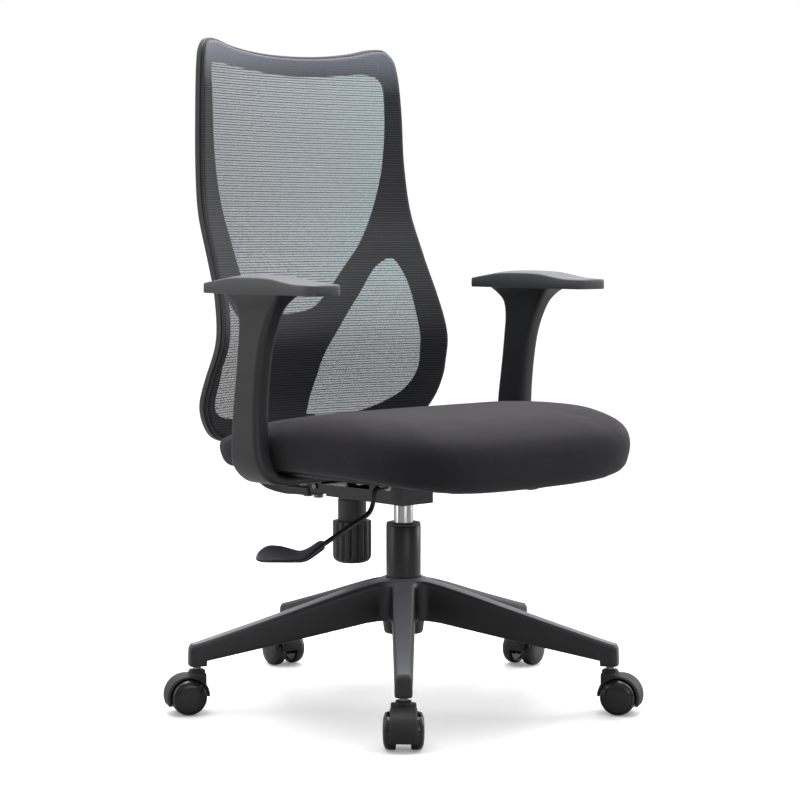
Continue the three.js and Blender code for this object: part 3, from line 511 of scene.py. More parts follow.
def base_arm():
    """One fifth of the base's shell: the top face, its skirt, and a slice of the hub's top."""
    side = arm_side()
    inset = SHOULDER[0][0]
    edge = [(x - nx * inset, y - ny * inset) for x, y, nx, ny in side]
    hub_reach = hypot(*edge[0])
    bisector = pi / ARM_COUNT
    rows = []
    for radius, z in ((HUB_HOLE, 168), (HUB_HOLE, 176.4), (HUB_HOLE + 1, 177.6),
                      (HUB_HOLE + 3.5, 177.8)):
        rows.append([(radius * cos(f * bisector), radius * sin(f * bisector), z)
                     for f in TOP_COLUMNS])
    for x, y in edge:
        roundness = exp(-(x - edge[0][0]) / HUB_BLEND)
        row = []
        for f in TOP_COLUMNS:
            arc_x = hub_reach * cos(f * bisector) - edge[0][0]
            arc_y = hub_reach * sin(f * bisector) - edge[0][1] * f
            crown = 0.5 * (1 - f * f)
            px = x + roundness * arc_x
            row.append((px, y * f + roundness * arc_y, height_on(TOP_LINE, px) + crown))
        rows.append(row)
    count = len(TOP_COLUMNS)
    top = [p for row in rows for p in row], [
        (i * count + j, (i + 1) * count + j, (i + 1) * count + j + 1, i * count + j + 1)
        for i in range(len(rows) - 1) for j in range(count - 1)]
    other_side = [(x, -y, nx, -ny) for x, y, nx, ny in reversed(side)]
    nose_x, nose_y = side[-1][:2]
    nose = [(nose_x, nose_y * f, 1.0, 0.0) for f in reversed(TOP_COLUMNS[1:-1])]
    return merged(top, skirt(side + nose + other_side))


def skirt(outline):
    """The base's side wall under an outline of (x, y, normal)."""
    columns = []
    for x, y, nx, ny in outline:
        top = height_on(TOP_LINE, x - nx * SHOULDER[0][0])
        under = height_on(UNDER_LINE, x)
        levels = [(inset, top - drop) for inset, drop in SHOULDER]
        levels += [(inset, under + rise) for inset, rise in LOWER_EDGE]
        columns.append([(x - nx * inset, y - ny * inset, z) for inset, z in levels])
    points = [p for column in columns for p in column]
    return points, grid_faces(len(columns), len(columns[0]))


def arm_turns():
    """Directions of the five base arms, from +X."""
    return [FIRST_ARM + turn for turn in turns(ARM_COUNT)]


def base_ribs():
    """Cross ribs under one arm, the collar that holds its castor stem, and a web beside it."""
    ribs = []
    for out in (72, 116, 160, 204, 248, 284):
        half = (ARM_HALF_WIDTH - out * tan(ARM_TAPER)) - 1.8
        low, high = height_on(UNDER_LINE, out) + 3, height_on(TOP_LINE, out) - 2
        ribs.append(lofted([[(out + dx, -half, low), (out + dx, half, low),
                             (out + dx, half * 0.86, high), (out + dx, -half * 0.86, high)]
                            for dx in (-1.1, 1.1)]))
    collar = turned([(5.8, 65.6), (8.4, 65.6), (8.9, 66.4), (8.9, 96), (5.8, 96), (5.8, 65.6)], 32)
    near, far, half = 293.5, 293.5 + 3.2, 9.6
    web = lofted([[(near, -half, z), (near, half, z), (far, half, z), (far, -half, z)]
                  for z in (68.2, 71)])
    return merged(*ribs, moved(collar, x=STEM_RADIUS), web)


def build_base():
    arm, ribs = base_arm(), base_ribs()
    arms = merged(*[moved(arm, turn=turn) for turn in arm_turns()])
    shell = make("base_shell", arms, BASE_NYLON, "base", replaces=["star_base"])
    wall = shell.modifiers.new("wall", "SOLIDIFY")
    wall.thickness = BASE_WALL * MM
    wall.offset = -1  # inwards
    all_ribs = merged(*[moved(ribs, turn=turn) for turn in arm_turns()])
    make("base_ribs", all_ribs, BASE_NYLON, "base", bevel=0.5)
    core = turned([(22.4, 97), (27, 97), (28, 98.5), (30.5, 116), (31, 165), (25.5, 172),
                   (HUB_HOLE, 168), (22.4, 116), (22.4, 97)])
    make("base_core", core, BASE_NYLON, "base")


# ---- gas lift --------------------------------


def build_column():
    tube = [(5.4, 96), (21, 96), (22, 97), (22, 116), (25, 176), (25, 250.8), (24.5, 251.7),
            (23.8, 252), (22.8, 252), (22.8, 176), (19.5, 120), (19.5, 100), (5.4, 100), (5.4, 96)]
    make("lift_tube", turned(tube), TUBE_PAINT, "base", replaces=["gas_outer_tube"])
    bush = [(14.3, 180), (22.4, 180), (22.4, 252.3), (24.5, 252.3), (24.8, 252.8), (24.7, 254.8),
            (23.9, 256.2), (22.8, 256.5), (15.4, 256.5), (14.3, 255.5), (14.3, 180)]
    make("lift_bush", turned(bush), SOFT_NYLON, "base", replaces=["guide_bush"])
    cylinder = turned([(0, 124), (12.6, 124), (13.6, 124.6), (14, 126), (14, 297), (13, 300),
                       (0, 300)])
    make("lift_cylinder", cylinder, CHROME, "seat_unit", replaces=["gas_cylinder"])
    for node in ("thrust_bearing", "retaining_clip", "piston_rod", "release_pin"):
        carry(node, STEEL)
    carry("rubber_buffer", BUFFER_RUBBER)


# ---- castors ---------------------------------

NECK_WIDTH = 21.4
SHOULDER_WIDTH = 34
FENDER_RADIUS = 28.2  # to the middle of its wall
WHEEL_INNER_FACE = 9.5  # from the hood's middle


def hood_shape():
    """Fender and web swept round the axle, an axle boss, a shoulder, and the stem's neck."""
    half = [(0, 30.4), (13, 30.4), (15.6, 30), (17.3, 29), (18, 27.6), (18, 26.6), (17.5, 26.2),
            (9.8, 26.2), (9.2, 25.6), (9.2, 5)]
    section = [(-y, r) for y, r in reversed(half[1:])] + half
    rings = []
    for turn in np.linspace(-0.42, pi, 34):
        rings.append([(r * cos(turn), y, r * sin(turn)) for y, r in section])
    fender = moved(lofted(rings), x=CASTOR_TRAIL, z=WHEEL_RADIUS)
    boss = [(0, -9.2), (10.5, -9.2), (11.2, -8.6), (11.2, 8.6), (10.5, 9.2), (0, 9.2)]
    axle_boss = moved(turned(boss, 40), x=CASTOR_TRAIL, z=WHEEL_RADIUS, turn=pi / 2, axis="X")
    neck = []
    for z, grow in ((44, 0.2), (55, 0), (59.6, 0), (60.6, -0.5), (61, -1.3)):
        width = NECK_WIDTH + 2 * grow
        neck.append([(x, y, z) for x, y in rounded_rectangle(width, width, 7 + grow)])
    shoulder = []
    for level, grow in ((None, 0), (55.6, 0), (56.7, -0.5), (57.2, -1.6)):
        ring = rounded_rectangle(NECK_WIDTH + 2 * grow, SHOULDER_WIDTH + 2 * grow, 5 + grow)
        shoulder.append([(x, y, level or fender_height(x)) for x, y in ring])
    return merged(fender, axle_boss, lofted(shoulder), lofted(neck))


def fender_height(x):
    """Height of the fender's wall above a point near the stem."""
    return WHEEL_RADIUS + sqrt(FENDER_RADIUS ** 2 - (x - CASTOR_TRAIL) ** 2)


def wheel_shape():
    """A wheel on +Z, inner face at z = 0: tread, bright chamfer, and a domed cap in a rim."""
    return turned([
        (0, 14), (4.3, 14), (4.3, 0.6), (7, 0.6), (7, 2.5), (20, 2.5), (20, 0.4), (23, 0.2),
        (24.5, 1), (25, 2.6), (25, 8.5), (24.7, 10.8), (24, 13), (23.2, 14.6), (22.6, 15.2),
        (22.1, 15.1), (21.7, 14.6), (21.1, 14.8), (20.3, 15.8), (18, 16.7), (14, 17.4), (8, 17.8),
        (0, 17.9),
    ])


def build_castors():
    hood, wheel = hood_shape(), wheel_shape()
    for number, turn in enumerate(arm_turns(), 1):
        x, y = STEM_RADIUS * cos(turn), STEM_RADIUS * sin(turn)
        make(f"castor_{number}_hood", moved(hood, x, y, turn=turn), CASTOR_NYLON,
             f"castor_{number}", replaces=[f"castor_hood_{number}"], bevel=0.5)
        for side, sign in (("a", 1), ("b", -1)):
            upright = moved(wheel, CASTOR_TRAIL, sign * WHEEL_INNER_FACE, WHEEL_RADIUS,
                            -sign * pi / 2, "X")
            make(f"castor_{number}_wheel_{side}", moved(upright, x, y, turn=turn), WHEEL_NYLON,
                 f"wheel_{number}{side}", replaces=[f"castor_wheel_{number}{side}"])
        carry(f"castor_stem_{number}", STEEL)
        carry(f"castor_axle_{number}", STEEL)


# ---- mechanism -------------------------------

KNOB_FLUTES = 16
FLUTE_DEPTH = 2.7


def knob_shape():
    """A fluted hand knob with a domed bottom and a deep well for the spring sleeve."""
    # z, radius, share of the full flute depth
    levels = [
        (185, 4, 0), (185.3, 12, 0), (186.3, 19, 0), (188.4, 24, 0), (190.6, 26.4, 0.2),
        (193.5, 27.9, 0.7), (197, 28.5, 1), (247, 28.5, 1), (247.8, 28.1, 1), (248, 26.8, 0.8),
        (248, 22.2, 0), (224, 22.2, 0), (223, 21, 0), (223, 5.4, 0), (206, 5.4, 0), (206, 1, 0),
    ]
    rings = []
    for z, radius, share in levels:
        ring = []
        for turn in turns(KNOB_FLUTES * 8):
            valley = max(0.0, cos(KNOB_FLUTES * turn)) ** 2
            r = radius - FLUTE_DEPTH * share * valley
            ring.append((r * cos(turn), r * sin(turn), z))
        rings.append(ring)
    return moved(lofted(rings), y=KNOB_Y)


LEVER_ROUTE = [  # x, z of the rod's middle, from the release pin outwards
    (14, 310), (-12, 310), (-34, 310), (-48, 309.6), (-55.5, 305), (-58, 296), (-59.8, 285),
    (-67, 274.5), (-110, 255.5), (-172, 229),
]
LEVER_ROD_RADIUS = 3.5


def lever_rod_shape():
    """A round rod bent along its route."""
    route = spline(LEVER_ROUTE, 8)
    rings = []
    for i, (x, z) in enumerate(route):
        along = heading(route, i)
        ring = []
        for turn in turns(20):
            out, side = LEVER_ROD_RADIUS * cos(turn), LEVER_ROD_RADIUS * sin(turn)
            ring.append((x - along.y * out, side, z + along.x * out))
        rings.append(ring)
    return lofted(rings)


def lever_paddle_shape():
    """A sleeve that flattens into a leaf-shaped blade, dished inside a raised rim and rolled
    about its length so that its rear edge stands higher."""
    # x, z, half width, half thickness, depth of the dish, roll in degrees
    stations = spline([
        (-154, 237.5, 7.3, 6.3, 0, 0), (-157, 236.4, 8, 6.9, 0, 0), (-172, 229.8, 9, 6.8, 0, 4),
        (-186, 226, 12, 5.8, 0.4, 14), (-200, 227.4, 16, 4.4, 1.8, 26),
        (-218, 231, 19, 3.4, 2.4, 30), (-238, 233, 19, 3.1, 2.3, 30), (-255, 231.5, 14, 3, 1.4, 28),
        (-265, 229.5, 8, 2.6, 0.3, 26), (-269, 228.7, 3, 1.6, 0, 26),
    ], 5)
    rings = []
    for x, z, half, thick, dish, degrees in stations:
        roll = radians(degrees)
        ring = []
        for turn in turns(28):
            c, s = cos(turn), sin(turn)
            y = half * copysign(abs(c) ** 0.75, c)
            up = thick * copysign(abs(s) ** 0.8, s)
            if s > 0:
                up -= dish * max(0.0, 1 - (y / (half * 0.8)) ** 2) ** 0.6
            ring.append((x, y * cos(roll) - up * sin(roll),
                         z + y * sin(roll) + up * cos(roll)))
        rings.append(ring)
    return lofted(rings)


def hex_head(x, y, low, high, radius):
    """A hexagon head with a chamfered underside and a washer face."""
    corners = [radians(60 * i + 30) for i in range(6)]
    rings = [[(x + r * cos(turn), y + r * sin(turn), z) for turn in corners]
             for z, r in ((low, radius * 0.86), (low + 0.7, radius), (high, radius))]
    return lofted(rings)


def build_mechanism():
    carry("mech_housing", BLACK_STEEL, bevel=1.4)
    carry("seat_plate", BLACK_STEEL, bevel=0.6)
    carry("recline_bar", BLACK_STEEL, bevel=0.7)
    for node in ("recline_axle", "tension_spring", "tension_bolt"):
        carry(node, STEEL)
    carry("lever_bush", ACETAL)
    sleeve = moved(turned([(18, 236.5), (20.4, 236), (21, 236.8), (21, 279), (20.2, 280),
                           (20.2, 283.7), (18, 283.7), (18, 236.5)]), y=KNOB_Y)
    make("spring_cover", sleeve, SOFT_NYLON, "seat_unit", replaces=["spring_sleeve"])
    make("knob_grip", knob_shape(), SOFT_NYLON, "knob", replaces=["tension_knob"],
         smooth=50)
    make("lever_bar", lever_rod_shape(), BLACK_STEEL, "lever",
         replaces=["lever_rod"])
    make("lever_handle", lever_paddle_shape(), LEVER_PLASTIC, "lever",
         replaces=["lever_paddle"], smooth=60)
    plate_bolts = [hex_head(x, y, 316.6, 321, 5.5) for x in (-80, 80) for y in (-45, 115)]
    make("plate_bolts", merged(*plate_bolts), STEEL, "seat_unit", bevel=0.3)


# ---- seat ------------------------------------

SEAT_CENTRE_Y = -43
SEAT_HALF = 240
SEAT_SQUARENESS = 0.4  # power of the outline: 1 is a circle, 0 a square
CUSHION_START = 0.5  # the cushion starts this much smaller and swells to size
CUSHION_SWELL = 2.5  # and no point moves further than this
CUSHION_WIDEST = 372
CUSHION_BOTTOM = 344
CUSHION_TOP = 426
CUSHION_LINE = [  # height, and how far in from the widest line, before it is bent
    (345, 27), (346.5, 18), (351, 9), (360, 3), (CUSHION_WIDEST, 0), (384, 0.8), (394, 2.6),
    (402, 5.6), (409, 10.5), (415, 18), (419.6, 29), (422.6, 46), (424.6, 75), (CUSHION_TOP, 115),
    (CUSHION_TOP, 170), (CUSHION_TOP, 236),
]


def clamp(value):
    return min(max(value, 0.0), 1.0)


# How the seat falls away: drop, y where it starts, length (negative to the front), power.
TOP_REAR, TOP_FRONT = (37, -70, 260, 1.15), (14, -133, -150, 2)
EDGE_FRONT, EDGE_REAR = (23, -110, -150, 1.5), (10, 60, 110, 1)
TOP_BLEND = 44  # height over which the top takes up its fall


def fall(y, drop, start, length, power):
    return drop * clamp((y - start) / length) ** power


def bent(x, y, z):
    """Height on the bent seat: the top falls to the rear and, as a waterfall, to the front;
    the lower edge drops at the front, most in the middle."""
    if z > CUSHION_WIDEST:
        drop = fall(y, *TOP_REAR) + fall(y, *TOP_FRONT)
        return z - drop * clamp((z - CUSHION_WIDEST) / TOP_BLEND)
    drop = fall(y, *EDGE_FRONT) * (1 - 0.6 * (x / SEAT_HALF) ** 2) + fall(y, *EDGE_REAR)
    share = (CUSHION_WIDEST - z) / (CUSHION_WIDEST - CUSHION_BOTTOM)
    return z - drop * share


def cushion_shape(shrink):
    """A square cushion with rounded corners, bent to the seat's side view."""
    rings = []
    for z, inset in spline(CUSHION_LINE, 3):
        half = SEAT_HALF - inset - shrink
        ring = []
        for turn in turns(120):
            c, s = cos(turn), sin(turn)
            x = half * copysign(abs(c) ** SEAT_SQUARENESS, c)
            y = SEAT_CENTRE_Y + half * copysign(abs(s) ** SEAT_SQUARENESS, s)
            ring.append((x, y, bent(x, y, min(z, CUSHION_TOP - shrink))))
        rings.append(ring)
    return lofted(rings)


CLOTH_FRAMES = 20


def inflate(piece, cap):
    """Cloth with a little pressure swells the cushion; no point moves further than cap."""
    remesh = piece.modifiers.new("remesh", "REMESH")
    remesh.mode = "VOXEL"
    remesh.voxel_size = 6 * MM
    bake_modifiers(piece)
    start = coordinates(piece.data)
    pinned = piece.vertex_groups.new(name="pinned")
    lowest = np.nonzero(start[:, 2] < (CUSHION_BOTTOM + 4) * MM)[0]
    pinned.add([int(i) for i in lowest], 1.0, "REPLACE")
    cloth = piece.modifiers.new("cloth", "CLOTH")
    settings = cloth.settings
    settings.use_pressure = True
    settings.uniform_pressure_force = 5.0
    settings.quality = 4
    settings.tension_stiffness = settings.compression_stiffness = 12
    settings.vertex_group_mass = "pinned"
    settings.effector_weights.gravity = 0
    cloth.point_cache.frame_start, cloth.point_cache.frame_end = 1, CLOTH_FRAMES
    for step in range(1, CLOTH_FRAMES + 1):
        SCENE.frame_set(step)
    bake_modifiers(piece)
    SCENE.frame_set(1)
    moved_by = coordinates(piece.data) - start
    length = np.linalg.norm(moved_by, axis=1, keepdims=True)
    capped = moved_by * np.minimum(1, cap * MM / np.maximum(length, 1e-9))
    piece.data.vertices.foreach_set("co", (start + capped).ravel())
    piece.data.update()


def coordinates(mesh):
    """A mesh's points, in metres, as rows of an array."""
    flat = np.empty(len(mesh.vertices) * 3)
    mesh.vertices.foreach_get("co", flat)
    return flat.reshape(-1, 3)


def bake_modifiers(piece):
    """Replaces a piece's mesh by what its modifiers make of it."""
    graph = bpy.context.evaluated_depsgraph_get()
    made = bpy.data.meshes.new_from_object(piece.evaluated_get(graph))
    piece.modifiers.clear()
    piece.data = made


def build_seat():
    carry("seat_pan", PLYWOOD, bevel=1.0)
    shape = cushion_shape(CUSHION_START)
    cushion = make("seat_pad", shape, SEAT_FABRIC, None, replaces=["seat_cushion"],
                   smooth=80)
    inflate(cushion, CUSHION_SWELL)
    cushion.data.shade_smooth()
    smoother = cushion.modifiers.new("smoother", "SMOOTH")
    smoother.iterations = 8
    rounder = cushion.modifiers.new("rounder", "SUBSURF")
    rounder.levels = rounder.render_levels = 1
    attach(cushion, "seat_unit")


# ---- arms ------------------------------------

# x, z, thickness, front and rear edge of an armrest from its foot to its head
ARM_STATIONS = [
    (130, 332, 13.4, 0, 52), (196, 332, 13.4, -2, 55), (218, 332, 13.4, -3, 57),
    (236, 336.5, 17, -4, 60), (248, 347, 22, -5, 62), (254.5, 360, 25.5, -3, 62),
    (ARMREST_X, 374, 27, 0, 60), (ARMREST_X, 420, 27, 2, 57), (ARMREST_X, 478, 27, -3, 49),
    (ARMREST_X, 520, 27, -11, 44), (ARMREST_X, 548, 27, -22, 42), (ARMREST_X, 568, 28, -34, 46),
    (ARMREST_X, 580, 33, -46, 57), (ARMREST_X, 587.7, 40, -57, 67),
]
PAD_BOTTOM = 588
# y, half width, height of the top's middle, how far its edges are lower, rear end to nose
PAD_STATIONS = [
    (97, 24.5, 599.5, 0.6), (96.4, 26.6, 601.6, 0.8), (94.6, 28.8, 603, 1), (90, 30, 604.2, 1.5),
    (60, 30, 609.5, 2.5), (35, 30, 613, 3), (-45, 30, 613, 3), (-75, 30, 608.5, 2.5),
    (-98, 30, 604.8, 1.5), (-118, 29.7, 603.6, 1), (-126, 27.4, 603.2, 1), (-130, 23.6, 602.2, 0.8),
    (-131.4, 19, 600.6, 0.6),
]


def arm_shape(side):
    """The armrest's foot, bend, upright and flared head, as one bar."""
    rings = []
    stations = spline(ARM_STATIONS, 6)
    for i, (x, z, thick, front, rear) in enumerate(stations):
        along, middle = heading(stations, i), (front + rear) / 2
        ring = rounded_rectangle(thick, rear - front, min(thick * 0.42, 9))
        rings.append([(side * (x + along.y * across), middle + deep, z - along.x * across)
                      for across, deep in ring])
    return lofted(rings)


def pad_shape(side):
    """The slab on an armrest: a crowned top, rounded edges and ends that slope down."""
    rings = []
    for y, half, top, drop in spline(PAD_STATIONS, 5):
        ring = []
        for t in np.linspace(-1, 1, 15):  # over the top, from one edge to the other
            ring.append((t * (half - 1.8), top - drop * abs(t) ** 2.4))
        edge = top - drop
        right = [(half - 0.7, edge - 0.7), (half, edge - 2.2), (half, PAD_BOTTOM + 2),
                 (half - 0.6, PAD_BOTTOM + 0.6), (half - 2, PAD_BOTTOM)]
        ring += right + [(-x, z) for x, z in reversed(right)]
        rings.append([(side * ARMREST_X + x, y, z) for x, z in ring])
    return lofted(rings)


def build_arms():
    for name, side in SIDES:
        make(f"armrest_{name}", arm_shape(side), NYLON, "seat_unit",
             replaces=[f"arm_{name}"], smooth=60)
        make(f"armrest_pad_{name}", pad_shape(side), PAD_PLASTIC, "seat_unit",
             replaces=[f"arm_pad_{name}"], smooth=60)
        carry(f"arm_bolt_{name}", STEEL, bevel=0.3)


# ---- back ------------------------------------

BOW = 0.00095  # plan curve: how far the back comes forward, per x squared
SIDE_LINE = spline([(350, 221), (420, 214), (465, 197), (515, 180), (570, 188), (640, 214),
                    (700, 236), (770, 245), (850, 247), (910, 249), (970, 253)], 24)  # z, y
HALF_OUTLINE = [  # x, z from the top middle to the bottom middle
    (0, 934), (60, 936), (115, 942.5), (150, 950), (171, 949), (184, 936), (190, 914), (195, 860),
    (198, 780), (203, 690), (209, 600), (217, 540), (225, 490), (230, 450), (227, 422), (215, 398),
    (195, 378), (165, 368), (100, 365), (0, 365),
]
RAIL_STEPS = 448
PANEL_CORNER = 40  # outline points from the top or bottom middle to a corner
END_ROWS = 40  # rows over which the panel takes up the curve of its ends
RAIL = [  # across from the outer edge, depth from the front face
    (6, 1.4), (3.6, 1.6), (3.2, 2.4), (3.0, 6.0), (2.2, 6.8), (0.8, 7.2), (0.1, 8.2), (0, 9.5),
    (0, 16), (0.6, 18.2), (2, 19.6), (4, 20), (16, 20), (18.4, 19.3), (19.8, 17.4), (20, 15),
    (20, 5), (19.4, 2.6), (17.5, 1.5), (12, 1.4),
]
WINDOWS = [  # x, z of the see-through windows: the large one, then the two low ones
    [(-167, 916), (-138, 914), (-83, 908.5), (-21, 903.5), (18, 903), (73, 906), (125, 910.5),
     (149, 907), (161, 893), (163, 858), (161, 798), (153, 751), (132, 697), (99, 652), (64, 620),
     (14, 577), (-12, 560), (-40, 554), (-71, 552), (-102, 555), (-129, 566), (-148, 588),
     (-153, 617), (-157, 682), (-165, 747), (-170, 817), (-171, 880), (-171, 908)],
    [(150, 631), (161, 611), (166, 583), (169, 545), (176, 498), (182, 463), (171, 433),
     (142, 413), (86, 396), (29, 389), (2, 392), (3, 412), (7, 450), (13, 496), (37, 533),
     (81, 581), (122, 621)],
    [(-200, 576), (-187, 559), (-170, 541), (-140, 510), (-117, 470), (-106, 430), (-115, 406),
     (-145, 401), (-188, 407), (-203, 417), (-208, 432), (-209, 462), (-211, 513), (-203, 548)],
]


def back_y(x, z):
    """How far back the front face of the backrest is."""
    return height_on(SIDE_LINE, z) - BOW * x * x


def back_outline():
    """The back frame's outline, anticlockwise from the top middle as the index falls."""
    mirrored = [(-x, z) for x, z in reversed(HALF_OUTLINE[1:-1])]
    fine = np.array(spline(HALF_OUTLINE + mirrored, 56, looped=True))
    steps = np.arange(RAIL_STEPS) * len(fine) / RAIL_STEPS
    low = np.floor(steps).astype(int)
    share = (steps - low)[:, None]
    return fine[low] * (1 - share) + fine[(low + 1) % len(fine)] * share


OUTLINE = back_outline()


def inset_outline(inset):
    """The outline's points, moved inwards."""
    along = np.roll(OUTLINE, -1, axis=0) - np.roll(OUTLINE, 1, axis=0)
    along /= np.linalg.norm(along, axis=1, keepdims=True)
    return OUTLINE + np.stack([along[:, 1], -along[:, 0]], axis=1) * inset


def rail_shape():
    """The frame's rail: its section swept round the outline."""
    lines = []
    for across, deep in RAIL:
        lines.append([(x, back_y(x, z) + deep, z) for x, z in inset_outline(across)[::2]])
    return lofted([[line[i] for line in lines] for i in range(RAIL_STEPS // 2)], looped=True)


def panel_points(inset):
    """(x, z) rows over the back: sides follow the outline, the first and last row its ends."""
    edge = inset_outline(inset)
    half = RAIL_STEPS // 2
    top_corner, bottom_corner = edge[PANEL_CORNER], edge[half - PANEL_CORNER]
    rows = []
    for i in range(PANEL_CORNER, half - PANEL_CORNER + 1):
        from_top = max(0.0, 1 - (i - PANEL_CORNER) / END_ROWS)
        from_bottom = max(0.0, 1 - (half - PANEL_CORNER - i) / END_ROWS)
        share = (i - PANEL_CORNER) / (half - 2 * PANEL_CORNER)
        row = []
        for j in range(-PANEL_CORNER, PANEL_CORNER + 1):
            top, bottom = edge[j % RAIL_STEPS], edge[half - j]
            stretch = (1 - share) * top[0] / top_corner[0] + share * bottom[0] / bottom_corner[0]
            z = edge[i][1] + (top[1] - top_corner[1]) * from_top
            z += (bottom[1] - bottom_corner[1]) * from_bottom
            row.append((edge[i][0] * stretch, z))
        rows.append(row)
    return rows


# The fabric's edge over the rail: in from the outer edge, depth from the front face.
FABRIC_WRAP = [(9, 0.0), (7, 0.15), (5.4, 0.6), (4.2, 1.4), (3.4, 2.6), (3.1, 4.2), (3.3, 5.6)]


def fabric_shape():
    """The stretched back fabric: a grid inside the rail, wrapped over its outer edge."""
    rows = panel_points(FABRIC_WRAP[0][0])
    points = [(x, back_y(x, z), z) for row in rows for x, z in row]
    faces = grid_faces(len(rows), len(rows[0]))
    start = len(points)
    for inset, deep in FABRIC_WRAP:
        points += [(x, back_y(x, z) + deep, z) for x, z in inset_outline(inset)]
    for k in range(len(FABRIC_WRAP) - 1):
        a, b = start + k * RAIL_STEPS, start + (k + 1) * RAIL_STEPS
        for i in range(RAIL_STEPS):
            n = (i + 1) % RAIL_STEPS
            faces.append((a + i, a + n, b + n, b + i))
    return points, faces


def window_distance(x, z):
    """How far inside the nearest window each point is, in mm; negative outside."""
    best = np.full(x.shape, -1e9)
    for window in WINDOWS:
        loop = np.array(spline(window, 6, looped=True))
        nearest = np.full(x.shape, 1e9)
        inside = np.zeros(x.shape, bool)
        for (ax, az), (bx, bz) in zip(loop, np.roll(loop, -1, axis=0)):
            dx, dz = bx - ax, bz - az
            t = np.clip(((x - ax) * dx + (z - az) * dz) / (dx * dx + dz * dz + 1e-9), 0, 1)
            nearest = np.minimum(nearest, np.hypot(x - ax - t * dx, z - az - t * dz))
            crosses = (az > z) != (bz > z)
            inside ^= crosses & (x < ax + (z - az) * dx / (dz + 1e-12))
        best = np.maximum(best, np.where(inside, nearest, -nearest))
    return best


def add_weave(piece):
    """Stores the weave's own coordinates and the windows on the fabric, in mm."""
    at = coordinates(piece.data)
    x, z = (at[:, 0] - COLUMN.x) / MM, at[:, 2] / MM
    across = x * (1 + (2 * BOW * x) ** 2 / 6)
    weave = piece.data.attributes.new("weave", "FLOAT_VECTOR", "POINT")
    weave.data.foreach_set("vector", np.stack([across, z, z * 0], axis=1).ravel())
    window = piece.data.attributes.new("window", "FLOAT", "POINT")
    window.data.foreach_set("value", window_distance(x, z))


def piping_shape():
    """The sewn edge of the fabric, a round cord tucked in the frame's groove."""
    radius, groove, middle = 0.9, 5.2, 650
    rings = []
    for x, z in inset_outline(2.6)[::2]:
        inward = Vector((-x, middle - z)).normalized()
        rings.append([(x + inward.x * radius * cos(turn),
                       back_y(x, z) + groove + radius * sin(turn),
                       z + inward.y * radius * cos(turn)) for turn in turns(8)])
    return lofted(rings, looped=True)


SUPPORT_STATIONS = [  # y, z, half width
    (180, 286.5, 29), (205, 286.5, 33), (229, 286.5, 38), (258, 295, 50), (271, 312, 56),
    (271, 335, 56), (261, 360, 54), (258, 380, 52), (258, 394, 49),
]


def support_section(half):
    """A rounded bar 12 mm thick with five shallow channels in its outer face."""
    section = [(x, up) for x, up in rounded_rectangle(2 * half, 12, 2.6, 4) if up > 0]
    lower = []
    for i in range(61):
        x = -half + 2.6 + (2 * half - 5.2) * i / 60
        wave = cos(pi * 6 * x / half)
        channel = 1.8 * min(1.0, max(0.0, wave * 2.2 + 0.6)) if abs(x) < half * 0.86 else 0.0
        lower.append((x, -6 + channel))
    left = [(-half, 0), (-half, -3.4), (-half + 0.8, -5.3)]
    right = [(half - 0.8, -5.3), (half, -3.4), (half, 0)]
    return section + left + lower + right


def support_shape():
    """The bracket that runs back under the seat and up behind the frame."""
    stations = spline(SUPPORT_STATIONS, 6)
    rings = []
    for i, (y, z, half) in enumerate(stations):
        along = heading(stations, i)
        rings.append([(x, y - along.y * up, z + along.x * up) for x, up in support_section(half)])
    return lofted(rings)


def frame_lug_shape():
    """The block at the foot of the frame that the support is screwed to."""
    width, height, middle = 96, 25, 378.5
    rings = []
    for y, grow in ((226, -1), (227, 0), (250.6, 0), (251.6, -1)):
        ring = rounded_rectangle(width + 2 * grow, height + 2 * grow, 4)
        rings.append([(x, y, middle + z) for x, z in ring])
    return lofted(rings)


def build_back():
    rail = merged(rail_shape(), frame_lug_shape())
    make("back_rail", rail, NYLON, "back_unit", replaces=["back_frame"], smooth=50)
    fabric = make("back_mesh", fabric_shape(), BACK_FABRIC, "back_unit",
                  replaces=["mesh_panel"], smooth=80)
    add_weave(fabric)
    make("back_piping", piping_shape(), SOFT_NYLON, "back_unit", smooth=80)
    make("back_bracket", support_shape(), NYLON, "back_unit", replaces=["back_support"],
         smooth=40)
    for node in ("bar_bolt_front", "bar_bolt_rear", "back_screw_right", "back_screw_left"):
        carry(node, STEEL, bevel=0.3)


# ---- light, floor and camera -----------------


ABOVE, BEHIND = (0, 0, 1), (0.68, 0.73, 0)
FLOOR_RADIUS = 60000


def area_light(name, at, towards, size, power):
    """A rectangular lamp; its places are in mm, its size in metres and its power in watts."""
    lamp = bpy.data.lights.new(name, "AREA")
    lamp.shape = "RECTANGLE"
    lamp.size, lamp.size_y = size
    lamp.energy = power
    holder = add_object(name, lamp)
    holder.location = place(*at)
    holder.rotation_euler = (place(*towards) - holder.location).to_track_quat("-Z", "Y").to_euler()


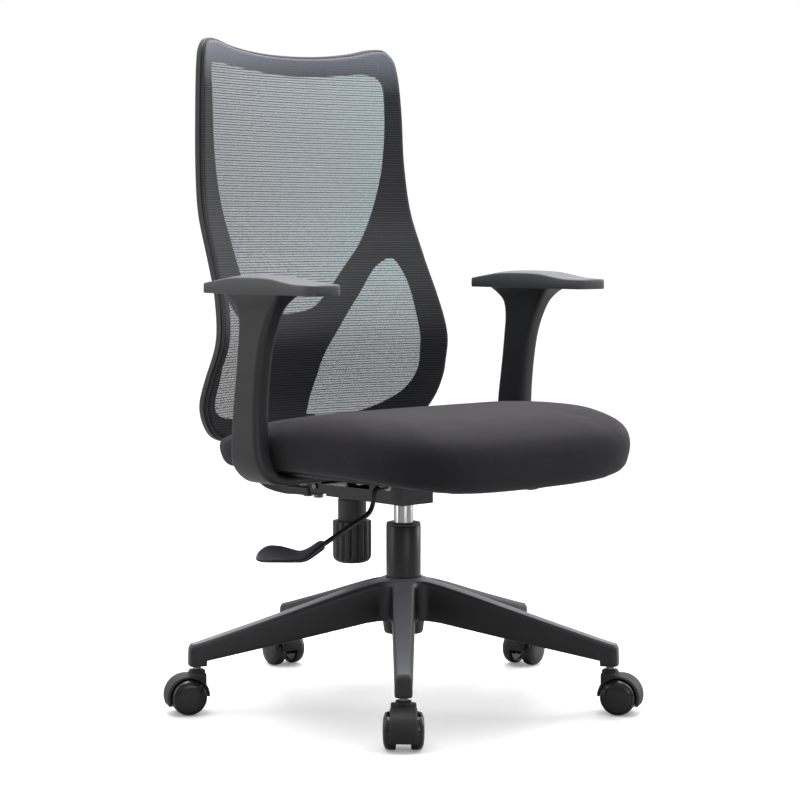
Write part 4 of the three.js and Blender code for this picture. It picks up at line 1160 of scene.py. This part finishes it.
def build_world():
    """White to the camera; to the chair, a studio that is brighter above and behind."""
    g = Graph("studio", bpy.data.worlds)
    where = g.node("TexCoord").outputs["Generated"]
    shares = []
    for direction, darkest, brightest in ((ABOVE, 0.12, 1.5), (BEHIND, 0.5, 1.25)):
        towards = g.node("VectorMath", {0: where, 1: direction}, operation="DOT_PRODUCT")
        ramp = {"Value": towards.outputs["Value"], "From Min": -0.4, "From Max": 0.9,
                "To Min": darkest, "To Max": brightest}
        shares.append(g.node("MapRange", ramp).outputs["Result"])
    white = {"Color": (1, 1, 1, 1)}
    studio = g.node("Background", {**white, "Strength": g.math("MULTIPLY", *shares)})
    backdrop = g.node("Background", white)
    seen = g.node("LightPath").outputs["Is Camera Ray"]
    mix = g.node("MixShader", {0: seen, 1: studio.outputs[0], 2: backdrop.outputs[0]})
    g.node("OutputWorld", {"Surface": mix.outputs[0]})
    SCENE.world = g.owner


def floor_material():
    """White to the camera, with soft shadows; a duller floor to everything else."""
    g = Graph("floor")
    seen = g.node("LightPath").outputs["Is Camera Ray"]
    tone = g.blend(g.noise(0.7), (0.94, 0.94, 0.94, 1), (0.96, 0.96, 0.96, 1))
    return g.finish({
        "Base Color": g.blend(seen, (0.4, 0.4, 0.4, 1), tone), "Roughness": 0.4,
        "Specular IOR Level": 0.3, "Emission Color": (1, 1, 1, 1),
        "Emission Strength": g.math("MULTIPLY", seen, 0.18),
    })


def build_stage():
    build_world()
    area_light("overhead", (200, 350, 2700), (0, 0, 400), (2.2, 2.2), 84)
    area_light("rear_left", (-2300, 1500, 1300), (0, 0, 500), (0.9, 2.2), 13)
    area_light("right_side", (2400, -700, 1300), (0, 0, 400), (0.9, 2.0), 24)
    area_light("low_front", (-900, -2600, 900), (0, 0, 300), (1.4, 0.8), 6)
    mesh = bpy.data.meshes.new("floor")
    ring = [place(FLOOR_RADIUS * cos(turn), FLOOR_RADIUS * sin(turn), 0)
            for turn in turns(48)]
    mesh.from_pydata(ring, [], [tuple(range(len(ring)))])
    mesh.materials.append(floor_material())
    add_object("floor", mesh)


CAMERA_AT = (-2143, -2338, 673)
CAMERA_DOWN, CAMERA_TURN = 4.35, -42.5  # degrees


def build_camera():
    """A long lens in front of the chair, to the sitter's right."""
    camera = bpy.data.cameras.new("camera")
    camera.sensor_width = 36
    camera.lens = 100.1
    camera.shift_x = -0.004
    camera.clip_end = 100
    holder = add_object("camera", camera)
    holder.location = place(*CAMERA_AT)
    holder.rotation_euler = (radians(90 - CAMERA_DOWN), 0, radians(CAMERA_TURN))
    SCENE.camera = holder
    SCENE.view_settings.view_transform = "Standard"


build_camera()
build_stage()
build_base()
build_column()
build_castors()
build_mechanism()
build_seat()
build_arms()
build_back()
